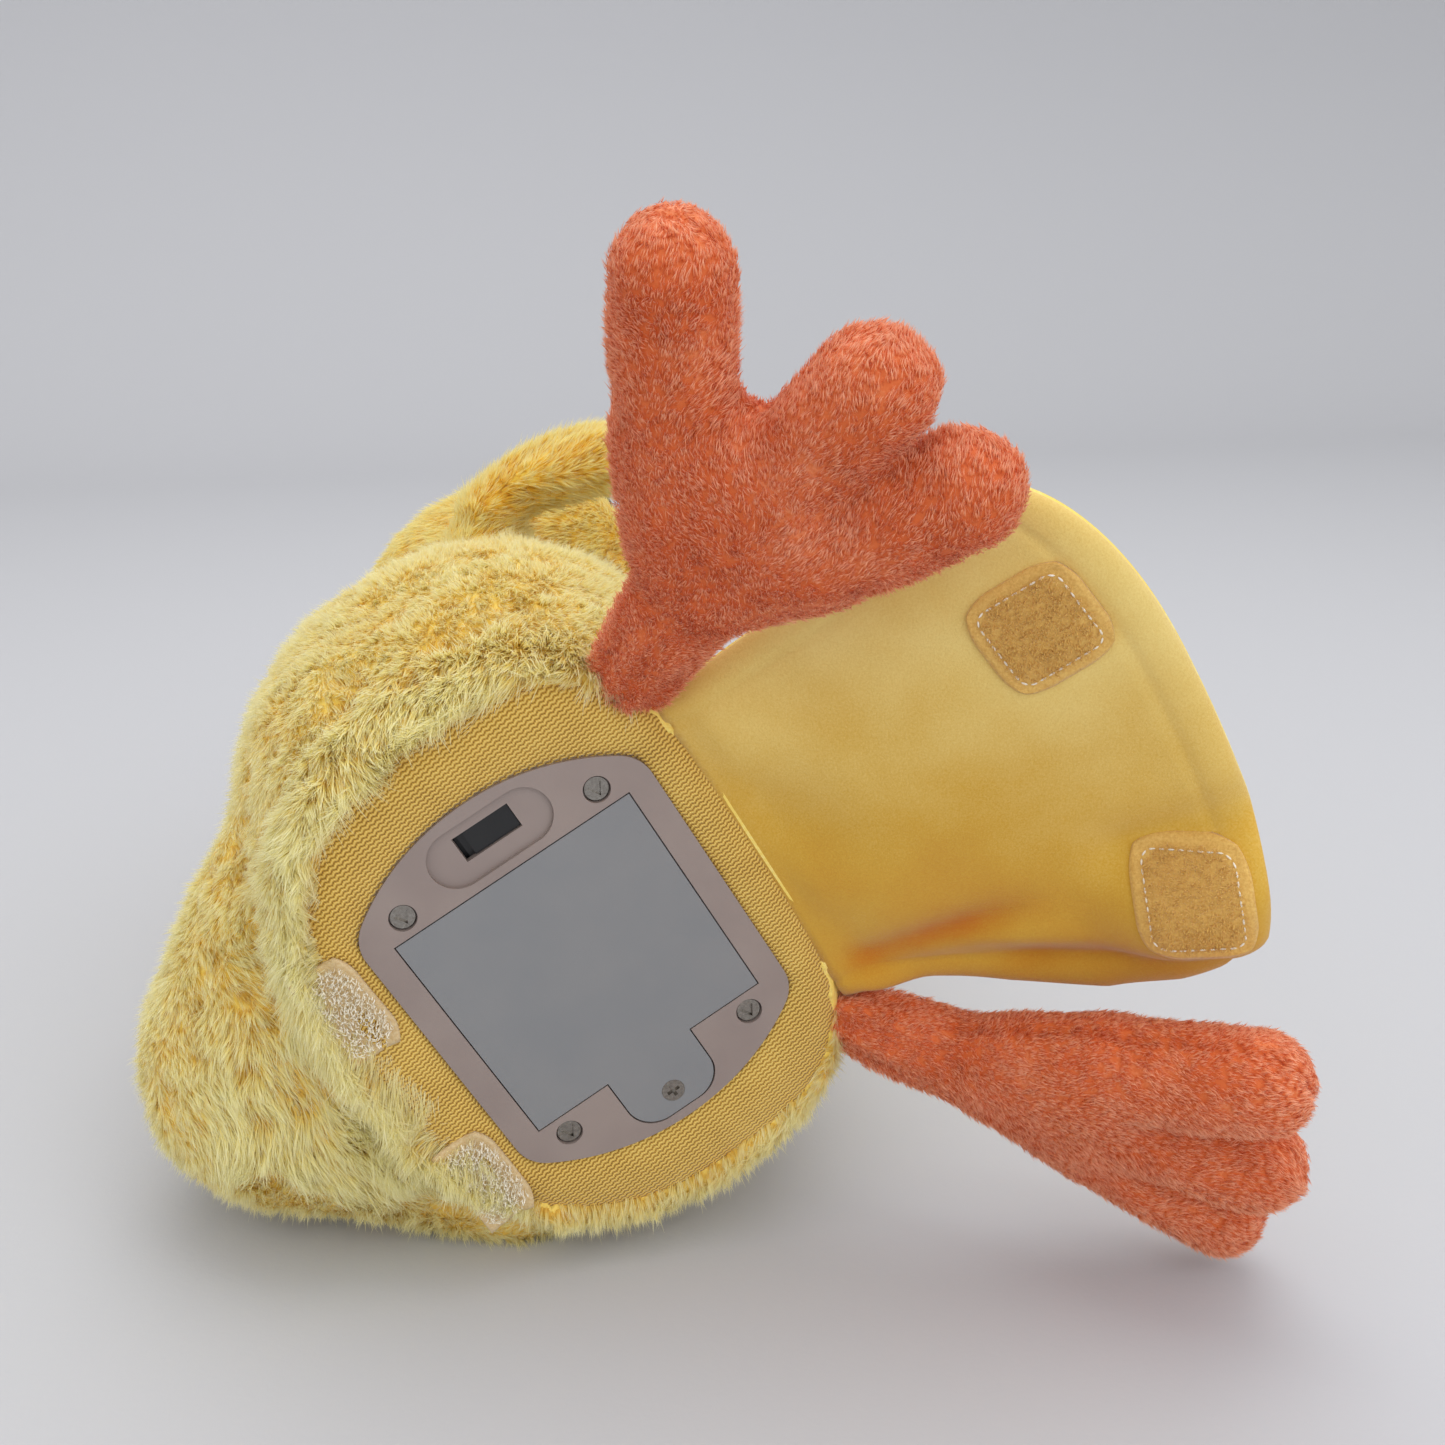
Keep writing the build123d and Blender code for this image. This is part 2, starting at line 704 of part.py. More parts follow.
def eye_form(side, grow):
    """A bead on a stem that runs back into the head."""
    with BuildPart() as form:
        with Locations(eye_plane(side, 0)):
            Sphere(eye_radius + grow)
        with BuildSketch(eye_plane(side, 0)):
            Circle(eye_stem_radius + grow)
        extrude(amount=-eye_stem_length - grow)
    return form.part


def washer_form(side, grow):
    """The locking washer on the stem."""
    with BuildPart() as form:
        with BuildSketch(eye_plane(side, washer_depth + grow)):
            Circle(washer_radius + grow)
            Circle(eye_stem_radius, mode=Mode.SUBTRACT)
        extrude(amount=washer_thickness + 2 * grow)
    return form.part


with BuildPart() as eye_left:
    add(eye_form(1, 0))
eye_left.part.label = "eye_left"

with BuildPart() as eye_right:
    add(eye_form(-1, 0))
eye_right.part.label = "eye_right"

with BuildPart() as eye_washers:
    add(washer_form(1, 0))
    add(washer_form(-1, 0))
eye_washers.part.label = "eye_washers"

with BuildPart() as head_plush:
    add(head_form(0))
    low = [value - stuffing_gap for value in gearbox_low]
    high = [value + stuffing_gap for value in gearbox_high]
    with Locations(tuple((low[i] + high[i]) / 2 for i in range(3))):
        Box(*(high[i] - low[i] for i in range(3)), mode=Mode.SUBTRACT)
    with BuildSketch(Plane.YZ.offset(gearbox_low[0])):
        with Locations(*post_places):
            Circle(2 * case_screw_radius + stuffing_gap)
    extrude(amount=-1.8, mode=Mode.SUBTRACT)
    with BuildSketch(Plane.XZ.offset(-gearbox_low[1])):
        with Locations(((mouth_slot_x[0] + mouth_slot_x[1]) / 2, (mouth_slot_z[0] + mouth_slot_z[1]) / 2)):
            Rectangle(mouth_slot_x[1] - mouth_slot_x[0], mouth_slot_z[1] - mouth_slot_z[0])
    extrude(amount=head_radius, mode=Mode.SUBTRACT)
    with BuildSketch(Plane.XY.offset(upper_former_z[0] - stuffing_gap)):
        add(beak_outline(former_half_width + stuffing_gap, former_tip))
    extrude(amount=upper_former_z[1] - upper_former_z[0] + 2 * stuffing_gap, mode=Mode.SUBTRACT)
    with BuildSketch(Plane.XY.offset(gearbox_low[2])):
        with Locations(neck_place):
            Circle(neck_radius + stuffing_gap)
    extrude(amount=-head_radius, mode=Mode.SUBTRACT)
    for side in (-1, 1):
        add(eye_form(side, 0.2), mode=Mode.SUBTRACT)
        add(washer_form(side, 0.2), mode=Mode.SUBTRACT)
head_plush.part.label = "head_plush"

with BuildPart() as head_tuft:
    with Locations((head_centre[0], head_centre[1], tuft_z)):
        Cone(*tuft_radii, tuft_height)
    add(head_form(0.2), mode=Mode.SUBTRACT)
head_tuft.part.label = "head_tuft"

# ---- torso, base fabric and the tabs at its back ----
with BuildPart() as torso_plush:
    for height, half_width, front, back, squareness in torso_rings:
        with BuildSketch(Plane.XY.offset(height)):
            with BuildLine():
                Spline(*body_ring(half_width, front, back, squareness), periodic=True)
            make_face()
    loft()
    with Locations(tail_centre):
        Sphere(tail_radius)
    split(bisect_by=ground, keep=Keep.BOTTOM)
    add(head_form(stuffing_gap), mode=Mode.SUBTRACT)
    with BuildSketch():
        add(plate_outline(1.0))
    extrude(amount=boss_top + 1, mode=Mode.SUBTRACT)
    room = case_half[1] + stuffing_gap
    with BuildSketch():
        Rectangle(2 * room, 2 * room)
    extrude(amount=sound_box_top + stuffing_gap, mode=Mode.SUBTRACT)
    with BuildSketch(Plane.XY.offset(sound_box_top)):
        with Locations(neck_place):
            Circle(neck_flange_radius + stuffing_gap)
    extrude(amount=neck_flange + stuffing_gap, mode=Mode.SUBTRACT)
    with BuildSketch(Plane.XY.offset(sound_box_top)):
        with Locations(neck_place):
            Circle(neck_radius + stuffing_gap)
    extrude(amount=gearbox_low[2] - sound_box_top, mode=Mode.SUBTRACT)
torso_plush.part.label = "torso_plush"


def fastener_tab(label, place_x):
    """A strip of hook tape sewn into the back seam and lying on the base fabric."""
    width, reach, thickness = fastener_tab_size
    with BuildPart() as tab:
        with BuildSketch(Plane.XY.offset(plate_rim - thickness)):
            with Locations((place_x, fastener_tab_y)):
                RectangleRounded(width, reach, 3)
        extrude(amount=thickness)
    tab.part.label = label
    return tab


hook_tab_right = fastener_tab("hook_tab_right", fastener_tab_x[0])
hook_tab_left = fastener_tab("hook_tab_left", fastener_tab_x[1])

# ---- flap that closes over the base ----
tilt = radians(flap_lift)
flap_plane = Plane(origin=flap_seam, x_dir=(1, 0, 0), z_dir=(0, sin(tilt), -cos(tilt)))


def flap_layer(label, top, thickness):
    """One layer of the flap, below its own top face."""
    with BuildPart() as layer:
        with BuildSketch(flap_plane.offset(top)):
            with BuildLine():
                Line(flap_outline[-1], flap_outline[0])
                Spline(*flap_outline)
            make_face()
        extrude(amount=-thickness)
    layer.part.label = label
    return layer


flap_felt = flap_layer("flap_felt", 0, felt_thickness)
flap_plush = flap_layer("flap_plush", -felt_thickness, flap_plush_thickness)


def loop_patch(label, place, turn):
    """A rounded square of loop tape on the felt, turned to follow the flap's edge."""
    with BuildPart() as patch:
        with BuildSketch(flap_plane):
            with Locations(Location((*place, 0), (0, 0, turn))):
                RectangleRounded(patch_size, patch_size, patch_corner)
        extrude(amount=patch_thickness)
    patch.part.label = label
    return patch


loop_patch_right = loop_patch("loop_patch_right", patch_place_right, patch_turn_right)
loop_patch_left = loop_patch("loop_patch_left", patch_place_left, patch_turn_left)


# ---- wings and feet ----
def wing_plane(side):
    """The wing's inner face: x runs forward, and z points away from the body."""
    lean = radians(wing_lean)
    return Plane(
        origin=(side * wing_inner_x, wing_back_left if side > 0 else wing_back_right, wing_height),
        x_dir=(0, -1, 0),
        z_dir=(side * cos(lean), 0, sin(lean)),
    )


def wing(label, side):
    """A flat stuffed pad with a lobed tip, pressed flat where it meets the ground."""
    with BuildPart() as pad:
        with BuildSketch(wing_plane(side)):
            with Locations((wing_length * 0.44, 0)):
                Ellipse(wing_length * 0.44, wing_half_height)
            with Locations((wing_length * 0.84, side * 6), (wing_length * 0.74, -side * 10)):
                Circle(14)
        extrude(amount=wing_thickness_left if side > 0 else wing_thickness_right)
        split(bisect_by=ground, keep=Keep.BOTTOM)
    pad.part.label = label
    return pad


wing_left = wing("wing_left", 1)
wing_right = wing("wing_right", -1)


def foot(label, ankle, aim, sole, toe_tips):
    """A webbed foot with three stuffed toes, drawn on the plane of its sole."""
    across = Vector(*sole).cross(Vector(*aim))
    plane = Plane(origin=ankle, x_dir=aim, z_dir=tuple(Vector(*aim).cross(across)))
    with BuildPart() as pad:
        with BuildSketch(plane) as palm:
            with Locations((heel_start, 0)):
                Circle(heel_radius)
            for tip in (toe_tips[0], toe_tips[-1]):
                with Locations((tip[0] * ball_share, tip[1] * ball_share)):
                    Circle(ball_radius)
            make_hull()
        extrude(amount=foot_thickness / 2, both=True)
        with BuildSketch(plane):
            for tip_x, tip_y in toe_tips:
                root_x, root_y = tip_x * ball_share, tip_y * ball_share
                end_x, end_y = tip_x - toe_radius, tip_y
                length = hypot(end_x - root_x, end_y - root_y)
                heading = degrees(atan2(end_y - root_y, end_x - root_x))
                middle = ((root_x + end_x) / 2, (root_y + end_y) / 2, 0)
                with Locations(Location(middle, (0, 0, heading))):
                    SlotCenterToCenter(length, 2 * toe_radius)
        extrude(amount=foot_thickness / 2, both=True)
    pad.part.label = label
    return pad


foot_right = foot(
    "foot_right",
    ankle=(-53.8, -49, -5),
    aim=(-0.48, -0.66, -0.60),
    sole=(0.12, 0.59, -0.80),
    toe_tips=((88, 33), (90, -5), (82, -29)),
)
foot_left = foot(
    "foot_left",
    ankle=(57.5, -48, -1),
    aim=(0.53, -0.60, -0.60),
    sole=(0.10, 0.75, -0.66),
    toe_tips=((90, 27), (94, -2), (90, -25)),
)

# ---- lay the toy down and write every piece ----
standing = [
    torso_plush, base_panel, base_plate, battery_door, door_screw, plate_screws, switch_knob, switch_body,
    battery_case, battery_cells, battery_contacts, sound_box, circuit_board, board_screws,
    speaker_basket, speaker_magnet, speaker_cone, neck_post,
    gearbox_left, gearbox_right, gearbox_screws, motor, motor_pinion, compound_gear, gear_shaft,
    jaw_pin, jaw_former, upper_former, beak_lower, beak_upper,
    head_plush, head_tuft, eye_left, eye_right, eye_washers,
    hook_tab_left, hook_tab_right, flap_felt, flap_plush, loop_patch_left, loop_patch_right,
    wing_left, wing_right, foot_left, foot_right,
]
on_its_side = Plane(
    origin=(0, 0, 0),
    x_dir=(sin(radians(roll_back)), 0, -cos(radians(roll_back))),
    z_dir=(0, 1, 0),
)
laid = [piece.part.moved(on_its_side.location) for piece in standing]
whole = Compound(children=[Compound(shape.wrapped) for shape in laid]).bounding_box()
origin_shift = Location((-whole.center().X, -whole.center().Y, rest_depth))

os.makedirs("parts", exist_ok=True)
for piece, shape in zip(standing, laid):
    placed = shape.moved(origin_shift)
    placed.label = piece.part.label
    export_step(placed, f"parts/{placed.label}.step")
print("pieces", len(standing), "size", whole.size, "lowest", whole.min.Z + rest_depth)
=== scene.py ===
import json
import math

import bmesh
import bpy
import numpy as np
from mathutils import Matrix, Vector, noise


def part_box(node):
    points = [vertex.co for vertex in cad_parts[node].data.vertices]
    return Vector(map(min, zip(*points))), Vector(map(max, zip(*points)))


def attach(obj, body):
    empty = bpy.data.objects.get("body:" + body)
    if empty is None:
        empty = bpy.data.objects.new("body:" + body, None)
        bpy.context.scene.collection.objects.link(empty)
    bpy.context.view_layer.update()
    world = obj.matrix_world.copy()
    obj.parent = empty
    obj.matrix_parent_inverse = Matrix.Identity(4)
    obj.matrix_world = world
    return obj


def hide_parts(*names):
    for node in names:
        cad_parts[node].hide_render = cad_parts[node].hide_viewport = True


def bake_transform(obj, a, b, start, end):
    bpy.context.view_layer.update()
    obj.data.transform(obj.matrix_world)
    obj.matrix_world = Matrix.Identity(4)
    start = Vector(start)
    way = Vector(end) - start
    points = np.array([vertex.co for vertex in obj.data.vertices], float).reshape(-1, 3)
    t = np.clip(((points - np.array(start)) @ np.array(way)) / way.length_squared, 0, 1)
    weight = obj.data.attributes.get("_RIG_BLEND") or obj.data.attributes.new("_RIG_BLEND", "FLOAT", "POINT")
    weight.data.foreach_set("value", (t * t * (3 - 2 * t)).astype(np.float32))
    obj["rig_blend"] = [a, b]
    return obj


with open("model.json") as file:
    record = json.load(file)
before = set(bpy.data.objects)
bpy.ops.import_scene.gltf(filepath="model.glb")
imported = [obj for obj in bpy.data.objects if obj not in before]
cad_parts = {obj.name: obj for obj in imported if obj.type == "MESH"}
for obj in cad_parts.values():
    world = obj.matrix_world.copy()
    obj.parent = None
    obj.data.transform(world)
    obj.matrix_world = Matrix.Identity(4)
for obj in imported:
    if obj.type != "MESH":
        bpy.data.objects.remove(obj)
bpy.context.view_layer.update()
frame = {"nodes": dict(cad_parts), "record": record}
nodes = frame["nodes"]
scene = bpy.context.scene
scene.view_settings.view_transform = "Standard"
print("frame loaded:", len(nodes), "CAD nodes")

# ---- the toy's own axes: x to its left, y to its back, z from the base to the head, in mm ----
lying = {"rollBack": 30.8}  # degrees, from lying flat on its left side towards its back
plateLow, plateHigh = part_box("base_plate")
baseCentre = np.array([(plateLow.x + plateHigh.x) / 2, plateLow.y, (plateLow.z + plateHigh.z) / 2])
rollSin = math.sin(math.radians(lying["rollBack"]))
rollCos = math.cos(math.radians(lying["rollBack"]))
toyAxes = np.array([[rollSin, -rollCos, 0], [0, 0, 1], [-rollCos, -rollSin, 0]])


def toRow(points):  # toy mm to the row frame's metres
    return np.asarray(points, float) @ toyAxes.T / 1000 + baseCentre


def turned(vectors):  # directions only
    return np.asarray(vectors, float) @ toyAxes.T


def unit(vector):
    vector = np.asarray(vector, float)
    return vector / np.maximum(np.linalg.norm(vector, axis=-1, keepdims=True), 1e-9)


def smooth(x):
    t = np.clip(x, 0, 1)
    return t * t * (3 - 2 * t)


# ---- camera, light and floor ----
camera = {
    "lens": 39.86, "sensor": 36.0,
    "fromBase": (-0.0488, -0.3102, 0.1537), "looksAlong": (0.2377, 0.9236, -0.3009),
}
cameraData = bpy.data.cameras.new("camera")
cameraData.lens = camera["lens"]
cameraData.sensor_width = camera["sensor"]
cameraData.clip_start = 0.01
cameraObject = bpy.data.objects.new("camera", cameraData)
cameraObject.location = Vector(baseCentre) + Vector(camera["fromBase"])
cameraObject.rotation_mode = "QUATERNION"
cameraObject.rotation_quaternion = Vector(camera["looksAlong"]).to_track_quat("-Z", "Y")
scene.collection.objects.link(cameraObject)
scene.camera = cameraObject

studio = {
    "world": "#E6E7EA", "worldStrength": 1.17,
    "keyPower": 6.4, "keySize": 1.1, "keyAt": (0.05, 0.15, 1.2), "keyAim": (0, 0.05, 0.05),
    "fillPower": 3.2, "fillSize": 1.0, "fillAt": (0.3, -1.1, 0.6), "fillAim": (0, 0, 0.1),
    "floorFront": 6.0, "floorBack": 1.1, "sweepRadius": 0.5, "wallHeight": 2.2, "floorHalfWidth": 6.0,
}


def linear(hexCode):  # sRGB hex to linear RGBA
    channels = [int(hexCode[i : i + 2], 16) / 255 for i in (1, 3, 5)]
    return tuple(c / 12.92 if c <= 0.04045 else ((c + 0.055) / 1.055) ** 2.4 for c in channels) + (1.0,)


def addNode(tree, kind, settings=None, **inputs):  # inputs by number (i0, i1) or by the socket's name
    node = tree.nodes.new(kind)
    for key, value in (settings or {}).items():
        setattr(node, key, value)
    for key, value in inputs.items():
        numbered = key[0] == "i" and key[1:].isdigit()
        socket = node.inputs[int(key[1:]) if numbered else key.replace("_", " ")]
        if isinstance(value, bpy.types.NodeSocket):
            tree.links.new(value, socket)
        else:
            socket.default_value = value
    return node


def newMaterial(name, **shader):
    material = bpy.data.materials.new(name)
    material.use_nodes = True
    surface = material.node_tree.nodes["Principled BSDF"]
    for key, value in shader.items():
        surface.inputs[key.replace("_", " ")].default_value = value
    return material, material.node_tree, surface


def ramp(tree, factor, stops):  # colour ramp from (place, hex) pairs
    node = addNode(tree, "ShaderNodeValToRGB", i0=factor)
    elements = node.color_ramp.elements
    while len(elements) < len(stops):
        elements.new(0.5)
    for element, (place, colour) in zip(elements, stops):
        element.position = place
        element.color = linear(colour)
    return node.outputs["Color"]


def maths(tree, operation, a, b=0.0, c=0.0, clamp=False):
    settings = {"operation": operation, "use_clamp": clamp}
    return addNode(tree, "ShaderNodeMath", settings, i0=a, i1=b, i2=c).outputs[0]


def vectorMaths(tree, operation, a, **other):
    return addNode(tree, "ShaderNodeVectorMath", {"operation": operation}, i0=a, **other).outputs[0]


def objectMm(tree, turn=(0, 0, 0)):  # Object coordinates in mm, turned if the pattern needs it
    place = addNode(tree, "ShaderNodeTexCoord").outputs["Object"]
    settings = {"vector_type": "TEXTURE"}
    inputs = {"Vector": place, "Rotation": turn, "Scale": (0.001, 0.001, 0.001)}
    return addNode(tree, "ShaderNodeMapping", settings, **inputs).outputs[0]


def noiseOf(tree, place, size, detail=3.0, roughness=0.55):  # a noise whose grains are this many mm
    inputs = {"Vector": place, "Scale": 1.0 / size, "Detail": detail, "Roughness": roughness}
    return addNode(tree, "ShaderNodeTexNoise", **inputs).outputs["Fac"]


def bump(tree, surface, height, distance, strength=1.0):  # distance in mm
    node = addNode(tree, "ShaderNodeBump", Strength=strength, Distance=distance / 1000, Height=height)
    tree.links.new(node.outputs[0], surface.inputs["Normal"])


def areaLight(name, power, size, at, aim, colour):
    light = bpy.data.lights.new(name, "AREA")
    light.energy = power
    light.size = size
    light.color = linear(colour)[:3]
    holder = bpy.data.objects.new(name, light)
    holder.location = at
    holder.rotation_mode = "QUATERNION"
    holder.rotation_quaternion = (Vector(aim) - Vector(at)).to_track_quat("-Z", "Y")
    scene.collection.objects.link(holder)


def buildStudio(s):
    world = bpy.data.worlds.new("softRoom")
    world.use_nodes = True
    world.node_tree.nodes["Background"].inputs[0].default_value = linear(s["world"])
    world.node_tree.nodes["Background"].inputs[1].default_value = s["worldStrength"]
    scene.world = world
    areaLight("overhead", s["keyPower"], s["keySize"], s["keyAt"], s["keyAim"], "#FFFFFF")
    areaLight("window", s["fillPower"], s["fillSize"], s["fillAt"], s["fillAim"], "#F4F7FF")
    profile = [(-s["floorFront"], 0.0), (s["floorBack"], 0.0)]
    for step in range(1, 13):
        turn = math.pi / 2 * step / 12
        along, rise = math.sin(turn), 1 - math.cos(turn)
        profile.append((s["floorBack"] + s["sweepRadius"] * along, s["sweepRadius"] * rise))
    profile.append((s["floorBack"] + s["sweepRadius"], s["wallHeight"]))
    half = s["floorHalfWidth"]
    points = [(x, y, z) for y, z in profile for x in (-half, half)]
    faces = [(2 * i, 2 * i + 1, 2 * i + 3, 2 * i + 2) for i in range(len(profile) - 1)]
    mesh = bpy.data.meshes.new("paperSweep")
    mesh.from_pydata(points, [], faces)
    mesh.polygons.foreach_set("use_smooth", [True] * len(faces))
    paper = bpy.data.objects.new("paperSweep", mesh)
    scene.collection.objects.link(paper)
    # background paper: uncoated pale grey, matt, with a faint tooth
    material, tree, surface = newMaterial("backgroundPaper", Roughness=0.85, Base_Color=linear("#C3C3C5"))
    surface.inputs["Specular IOR Level"].default_value = 0.2
    bump(tree, surface, noiseOf(tree, objectMm(tree), 1.5), 0.05)
    mesh.materials.append(material)


buildStudio(studio)
print("studio ready")

# ---- soft materials ----
basePlane = math.radians(90 - lying["rollBack"])


def plushMaterial(name, root, middle, tip, fleck=3.0, sheen=0.15, through=0.5):
    # knitted-back polyester plush: brushed strands with pale silky tips; the colour darkens towards the roots
    # as painted shade deep in the pile
    material, tree, surface = newMaterial(name, Roughness=0.62, Sheen_Weight=sheen, Sheen_Roughness=0.4)
    surface.inputs["Specular IOR Level"].default_value = 0.3
    along = addNode(tree, "ShaderNodeAttribute", {"attribute_name": "along"}).outputs["Fac"]
    tone = addNode(tree, "ShaderNodeAttribute", {"attribute_name": "tone"}).outputs["Fac"]
    hollowShade = addNode(tree, "ShaderNodeAttribute", {"attribute_name": "hollowShade"}).outputs["Fac"]
    place = objectMm(tree)
    patchy = maths(tree, "MULTIPLY_ADD", noiseOf(tree, place, 14.0, 2.0), 0.5, -0.25)
    streak = maths(tree, "MULTIPLY_ADD", noiseOf(tree, place, fleck * 0.4, 3.0), 0.5, -0.25)
    share = maths(tree, "MULTIPLY_ADD", tone, 0.3, along)
    share = maths(tree, "ADD", share, maths(tree, "ADD", patchy, streak))
    # painted shade: the colour darkens in the pile's dimples, folds and seams
    share = maths(tree, "MULTIPLY_ADD", hollowShade, -0.32, share)
    # painted shade: the ramp runs from the dark root colour to the pale tip colour along each strand
    colour = ramp(tree, share, [(0.0, root), (0.22, middle), (0.65, tip)])
    tree.links.new(colour, surface.inputs["Base Color"])
    bump(tree, surface, noiseOf(tree, place, 0.7, 4.0), 0.4, 0.6)
    # thin strands let light through; the knitted skin under them doesn't
    isStrand = addNode(tree, "ShaderNodeAttribute", {"attribute_name": "strand"}).outputs["Fac"]
    glow = addNode(tree, "ShaderNodeBsdfTranslucent", Color=colour)
    share = maths(tree, "MULTIPLY", isStrand, through)
    mixed = addNode(tree, "ShaderNodeMixShader", i0=share, i1=surface.outputs[0], i2=glow.outputs[0])
    tree.links.new(mixed.outputs[0], tree.nodes["Material Output"].inputs["Surface"])
    return material


creamPlush = plushMaterial("creamPolyesterPlush", "#F6D86C", "#FDEFA0", "#FFFBD2")
yellowPlush = plushMaterial("yellowPolyesterPlush", "#F5CE4C", "#FDE77C", "#FFF8BC")
orangePlush = plushMaterial(
    "orangeVelboaPlush", "#DA6C34", "#F09866", "#FFC29C", fleck=1.6, sheen=0.3, through=0.3
)


def feltMaterial():
    # brushed polyester felt: matt and hazy, with a fine fibre nap
    sheen = {"Sheen_Weight": 0.3, "Sheen_Roughness": 0.5}
    material, tree, surface = newMaterial("yellowBrushedFelt", Roughness=0.9, **sheen)
    surface.inputs["Specular IOR Level"].default_value = 0.15
    place = objectMm(tree)
    cloudy = noiseOf(tree, place, 22.0, 2.0)
    fibre = noiseOf(tree, place, 0.45, 5.0, 0.7)
    share = maths(tree, "MULTIPLY_ADD", fibre, 0.55, maths(tree, "MULTIPLY_ADD", cloudy, 0.4, -0.05))
    # painted shade: the felt's colour darkens towards amber in its two creases, where the fold attribute is
    # high
    fold = addNode(tree, "ShaderNodeAttribute", {"attribute_name": "fold"}).outputs["Fac"]
    share = maths(tree, "ADD", share, maths(tree, "MULTIPLY", fold, -0.4))
    height = addNode(tree, "ShaderNodeSeparateXYZ", Vector=place).outputs["Z"]
    # painted light: the felt is paler high on the far side, where the overhead light falls on it
    paintedTopLight = maths(tree, "MULTIPLY_ADD", height, 1 / 60, -1.5, clamp=True)
    share = maths(tree, "MULTIPLY_ADD", paintedTopLight, 0.45, share)
    colour = ramp(tree, share, [(0.0, "#C4741A"), (0.2, "#C88C28"), (0.5, "#D3A53B"), (0.95, "#EBCF7E")])
    tree.links.new(colour, surface.inputs["Base Color"])
    bump(tree, surface, fibre, 0.25, 0.7)
    return material


def weaveMaterial():
    # woven polyester twill: zigzag ribs about 1 mm apart, painted paler on their backs as a painted highlight
    # and brown in the gaps as painted shade
    material, tree, surface = newMaterial("ochreWovenTwill", Roughness=0.55, Sheen_Weight=0.2)
    surface.inputs["Specular IOR Level"].default_value = 0.35
    place = objectMm(tree, (0, basePlane - math.radians(weave["turn"]), 0))
    parts = addNode(tree, "ShaderNodeSeparateXYZ", Vector=place).outputs
    rib = maths(tree, "DIVIDE", parts["Z"], weave["ribPitch"])
    step = maths(tree, "PINGPONG", maths(tree, "DIVIDE", parts["X"], weave["zigzagLength"]), 0.5)
    wave = maths(tree, "FRACT", maths(tree, "ADD", rib, maths(tree, "MULTIPLY", step, weave["zigzagHeight"])))
    ridge = maths(tree, "ABSOLUTE", maths(tree, "MULTIPLY_ADD", wave, 2.0, -1.0))
    ridge = maths(tree, "SUBTRACT", 1.0, ridge)
    thread = maths(tree, "PINGPONG", maths(tree, "DIVIDE", parts["X"], weave["threadPitch"]), 0.5)
    height = maths(tree, "MULTIPLY_ADD", thread, 0.35, ridge)
    patchy = noiseOf(tree, place, 9.0, 2.0)
    share = maths(tree, "MULTIPLY_ADD", patchy, 0.25, maths(tree, "MULTIPLY_ADD", height, 0.8, -0.15))
    # painted light: the ramp makes the rib backs pale as a painted highlight and the gaps brown as painted
    # shade
    colour = ramp(tree, share, [(0.05, "#8A6420"), (0.38, "#D6A63E"), (0.85, "#F8D876")])
    tree.links.new(colour, surface.inputs["Base Color"])
    bump(tree, surface, height, 0.35, 0.8)
    return material


weave = {"turn": -82.0, "ribPitch": 1.0, "zigzagLength": 1.5, "zigzagHeight": 0.8, "threadPitch": 0.5}
yellowFelt = feltMaterial()
ochreTwill = weaveMaterial()


def tapeMaterial(name, dark, light, roughness=0.5):
    # knitted nylon fastener tape: slightly translucent filament with a glassy edge
    material, tree, surface = newMaterial(name, Roughness=roughness, Sheen_Weight=0.3)
    place = objectMm(tree)
    fuzz = noiseOf(tree, place, 0.6, 5.0, 0.7)
    tree.links.new(ramp(tree, fuzz, [(0.3, dark), (0.7, light)]), surface.inputs["Base Color"])
    bump(tree, surface, fuzz, 0.3, 0.8)
    return material


loopTape = tapeMaterial("amberLoopTape", "#CF983A", "#ECC266")
hookTape = tapeMaterial("peachHookTape", "#CFA86C", "#E8D2A2", 0.4)
clearNylon = tapeMaterial("clearNylonFilament", "#F3E6C4", "#FFFBEF", 0.18)
print("soft materials ready")

# ---- shapes in toy mm, fused into one stuffed skin ----
def ellipsoid(centre, radii, axes=None, fineness=3):
    shell = bmesh.new()
    bmesh.ops.create_icosphere(shell, subdivisions=fineness, radius=1.0)
    points = np.array([v.co for v in shell.verts]) * np.array(radii, float)
    faces = [[v.index for v in f.verts] for f in shell.faces]
    shell.free()
    if axes is not None:
        points = points @ np.array(axes, float)
    return points + np.array(centre, float), faces


def hull(*parts):  # one convex skin round several shapes
    shell = bmesh.new()
    for points, _ in parts:
        for p in points:
            shell.verts.new(p)
    made = bmesh.ops.convex_hull(shell, input=shell.verts)
    loose = [v for v in shell.verts if not v.link_faces]
    bmesh.ops.delete(shell, geom=loose, context="VERTS")
    shell.verts.index_update()
    points = np.array([v.co for v in shell.verts])
    faces = [[v.index for v in f.verts] for f in shell.faces]
    shell.free()
    return points, faces


def rings(levels, closeStart=True, closeEnd=True):  # rings with the same number of points, joined in order
    count = len(levels[0])
    points = np.concatenate(levels)
    faces = []
    for level in range(len(levels) - 1):
        low, high = level * count, (level + 1) * count
        for i in range(count):
            j = (i + 1) % count
            faces.append([low + i, low + j, high + j, high + i])
    if closeStart:
        faces.append(list(range(count))[::-1])
    if closeEnd:
        faces.append([(len(levels) - 1) * count + i for i in range(count)])
    return points, faces


def bakedObject(name, points, faces):
    mesh = bpy.data.meshes.new(name)
    mesh.from_pydata(np.asarray(points).tolist(), [], faces)
    mesh.update()
    piece = bpy.data.objects.new(name, mesh)
    scene.collection.objects.link(piece)
    return piece


def meshArrays(mesh):
    points = np.zeros(len(mesh.vertices) * 3)
    mesh.vertices.foreach_get("co", points)
    return points.reshape(-1, 3), [list(p.vertices) for p in mesh.polygons]


